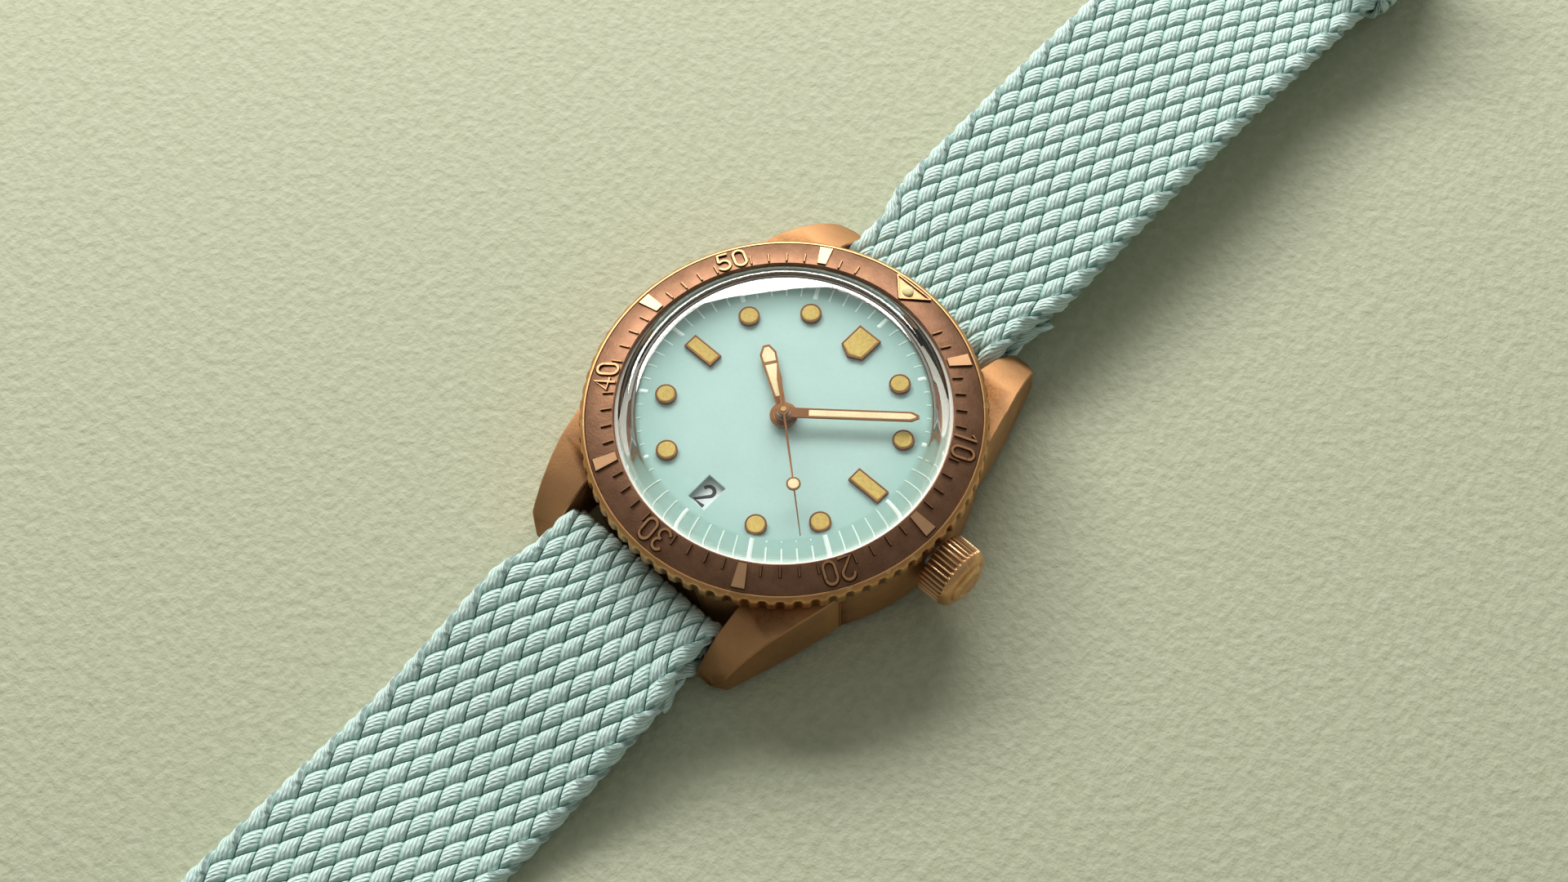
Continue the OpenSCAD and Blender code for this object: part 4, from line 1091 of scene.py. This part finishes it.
# %% [markdown]
# ## Tabs and keepers
# A cut braid frays, so its ends are closed in soft tabs: one is wrapped round the buckle's bar with a slot
# for the tongue, and one rounds off the tail. A tab is a rounded strip carried along a path. The two
# keepers are small braids of the same yarn that run round in a loop.

# %% Strips


def strip(path, across, from_x, to_x, half_thick, section=20):
    """A strip with rounded edges carried along a path, as points, faces and end caps."""
    heading = unit(np.gradient(path, axis=0))
    outward = unit(np.cross(across, heading))
    around = full_turn(section)
    sideways = squared(np.cos(around), 0.25) * (to_x - from_x) / 2 + (from_x + to_x) / 2
    upright = squared(np.sin(around), 0.55)[None, :, None]
    grid = path[:, None] + across * sideways[None, :, None] + outward[:, None] * upright * half_thick
    return *tube(grid), np.zeros(len(path) * section)


tilt = -math.atan(slope)
down_strap = np.array([0, math.cos(tilt), math.sin(tilt)])
off_strap = np.array([0, -math.sin(tilt), math.cos(tilt)])


def at_buckle(points):
    """Points given about the buckle's bar, with y along the strap there, as points of the whole watch."""
    bar = np.array([0, buckle_y, buckle_z])
    return bar + points[..., :1] * X_AXIS + points[..., 1:2] * down_strap + points[..., 2:] * off_strap


# %% The tab at the buckle: two loops round the bar, either side of the tongue, and a band over the braid
tab_half = 0.42
loop_centre_r = 1.36
around = np.radians(np.linspace(-90, 90, 25))
y_in = np.linspace(-7.2, -0.2, 22)
spread = loop_centre_r - 0.28 * (1 - eased(y_in, -4.0, -0.5))
upper_line = np.stack([0 * y_in, y_in, spread], 1)
lower_line = upper_line[::-1] * [1, 1, -1]
round_bar = np.stack([0 * around, loop_centre_r * np.cos(around), -loop_centre_r * np.sin(around)], 1)
loop_path = at_buckle(np.concatenate([upper_line, round_bar, lower_line]))
tab_edge = narrow_w / 2
slot_half = 1.45
band_half = 2.2
parts = [strip(loop_path, X_AXIS, slot_half, tab_edge, tab_half),
         strip(loop_path, X_AXIS, -tab_edge, -slot_half, tab_half)]
short = upper_line[y_in < -3.4]
for flip in (1, -1):
    parts.append(strip(at_buckle(short * [1, 1, flip]), X_AXIS, -band_half, band_half, tab_half * 0.98))
dress(make_piece("buckle_tab", *gather(parts)[:3]), tab_leather, "strap_12", "braid")

# %% The tab at the tail: a flat pad with a rounded end
tip_r = 14.0
tab_back = tail_end - 8.5
run = np.linspace(tab_back, tail_end - 1, 26)
last_curve = tail_end - 1 + np.sin(np.linspace(0.2, 1.52, 10))
rows = np.concatenate([run, last_curve])


def circle_share(start, reach, least):
    """Height of a circle's arc that starts at the top at start, for every row; never under least."""
    return np.sqrt(np.clip(reach - np.clip(rows - start, 0, None) ** 2, least, None))


half_w = np.minimum(strap_w / 2 - 0.15, circle_share(tail_end - tip_r, tip_r ** 2, 0.01))
half_t = (strap_t / 2 - 0.02) * circle_share(tail_end - 1.1, 1.25, 0.025) / math.sqrt(1.25)
half_t *= 0.82 + 0.18 * eased(rows, tab_back, tab_back + 0.8)
around = full_turn(48)
pad_x = half_w[:, None] * squared(np.cos(around), 0.22)
pad_z = strap_t / 2 + half_t[:, None] * squared(np.sin(around), 0.6)
pad_points = np.stack([pad_x, np.broadcast_to(-rows[:, None], pad_x.shape), pad_z], -1)
dress(make_piece("tail_tab", *tube(pad_points)), tab_leather, "strap_6", "braid")

# %% Keepers
keeper_w = 4.9
keeper_half_t = 0.45
keeper_cells = 7
wanted_step = 1.35
gap_half = 2.8


def keeper_braid(name, node, body, room):
    """A closed loop of narrow braid round the strap, in place of a CAD keeper, with room above and below.

    The step is close to the wanted one, with an even count of steps, so that the loop meets itself.
    """
    low, high = box_mm(node)
    half_w = (high[0] - low[0]) / 2 - keeper_half_t
    half_h = gap_half + keeper_half_t + room
    corner_r = 1.6
    bends = np.radians(np.array([[-90], [0], [90], [180]]) + np.linspace(0, 90, 9))
    centres = np.array([[1, -1], [1, 1], [-1, 1], [-1, -1]])[:, None] * [half_w - corner_r, half_h - corner_r]
    bends = centres + corner_r * np.stack([np.cos(bends), np.sin(bends)], -1)
    start = [[0, -half_h]]
    ring = np.concatenate([start, bends.reshape(-1, 2), start])
    middle = (low + high) / 2 * [0, 1, 1]
    path = middle + ring[:, :1] * X_AXIS + ring[:, 1:] * off_strap
    length = np.linalg.norm(np.diff(path, axis=0), axis=1).sum()
    step = length / (2 * round(length / wanted_step / 2))
    made = braid(name, path, down_strap, np.full(len(path), keeper_w), np.full(len(path), 0.5), keeper_cells,
                 step, 0.62, 0.5, 0.55, closed=True)
    dress(made, braid_yarn, body, "braid", node)


keeper_braid("fixed_keeper_braid", "fixed_keeper", "strap_12", 0)
keeper_braid("free_keeper_braid", "free_keeper", "free_keeper", 0.15)

# %% [markdown]
# ## Finishes on the CAD nodes that stay
# The movement, the seals, the spring bars and the buckle's pin have the right shape already, so only their
# materials change. Each node's record slot says which finish it takes.

# %% Finishes by slot
slot_finish = {
    "bronze_case": case_bronze, "bronze_polished": coin_edge_bronze, "bronze_insert": insert_bronze,
    "steel": steel, "gilt_brass": gilt_brass, "blued_steel": blued_steel, "rubber_seal": rubber,
    "seal_plastic": seal_plastic, "jewel": ruby, "crystal_glass": crystal_glass, "dial_paint": dial_lacquer,
    "marker_lume": marker_lume, "hand_lume": hand_lume, "hand_bronze": hand_bronze, "date_print": date_disc,
    "braid": braid_yarn,
}
for row in frame["record"]["subparts"]:
    data = nodes[row["node"]].data
    data.materials.clear()
    data.materials.append(slot_finish[row["material_slot"]])
print("CAD nodes still shown:", sum(not piece.hide_render for piece in nodes.values()))

# %% [markdown]
# ## The floor
# A plain pale board under the watch, with a fine leathery grain in its height. It is a stage, not a part.

# %% Floor
board, tree, shader = new_material("board")
pebbles = noise(tree, object_place(tree), 1000.0, 4.0, 0.55)
tone = stretched(tree, pebbles, 0.3, 0.7)
wire(tree, shader, Base_Color=blend_colour(tree, tone, linear("#B4B99C"), linear("#C2C6AC")), Roughness=0.75,
     Normal=bump(tree, pebbles, 0.2))
floor_half = 1500.0
corners = np.array([[-1, -1, 0], [1, -1, 0], [1, 1, 0], [-1, 1, 0]]) * floor_half - [0, 0, 0.02]
floor_mesh = bpy.data.meshes.new("floor")
floor_mesh.from_pydata((corners * MM).tolist(), [], [[0, 1, 2, 3]])
floor_mesh.materials.append(board)
floor = new_object("floor", floor_mesh)
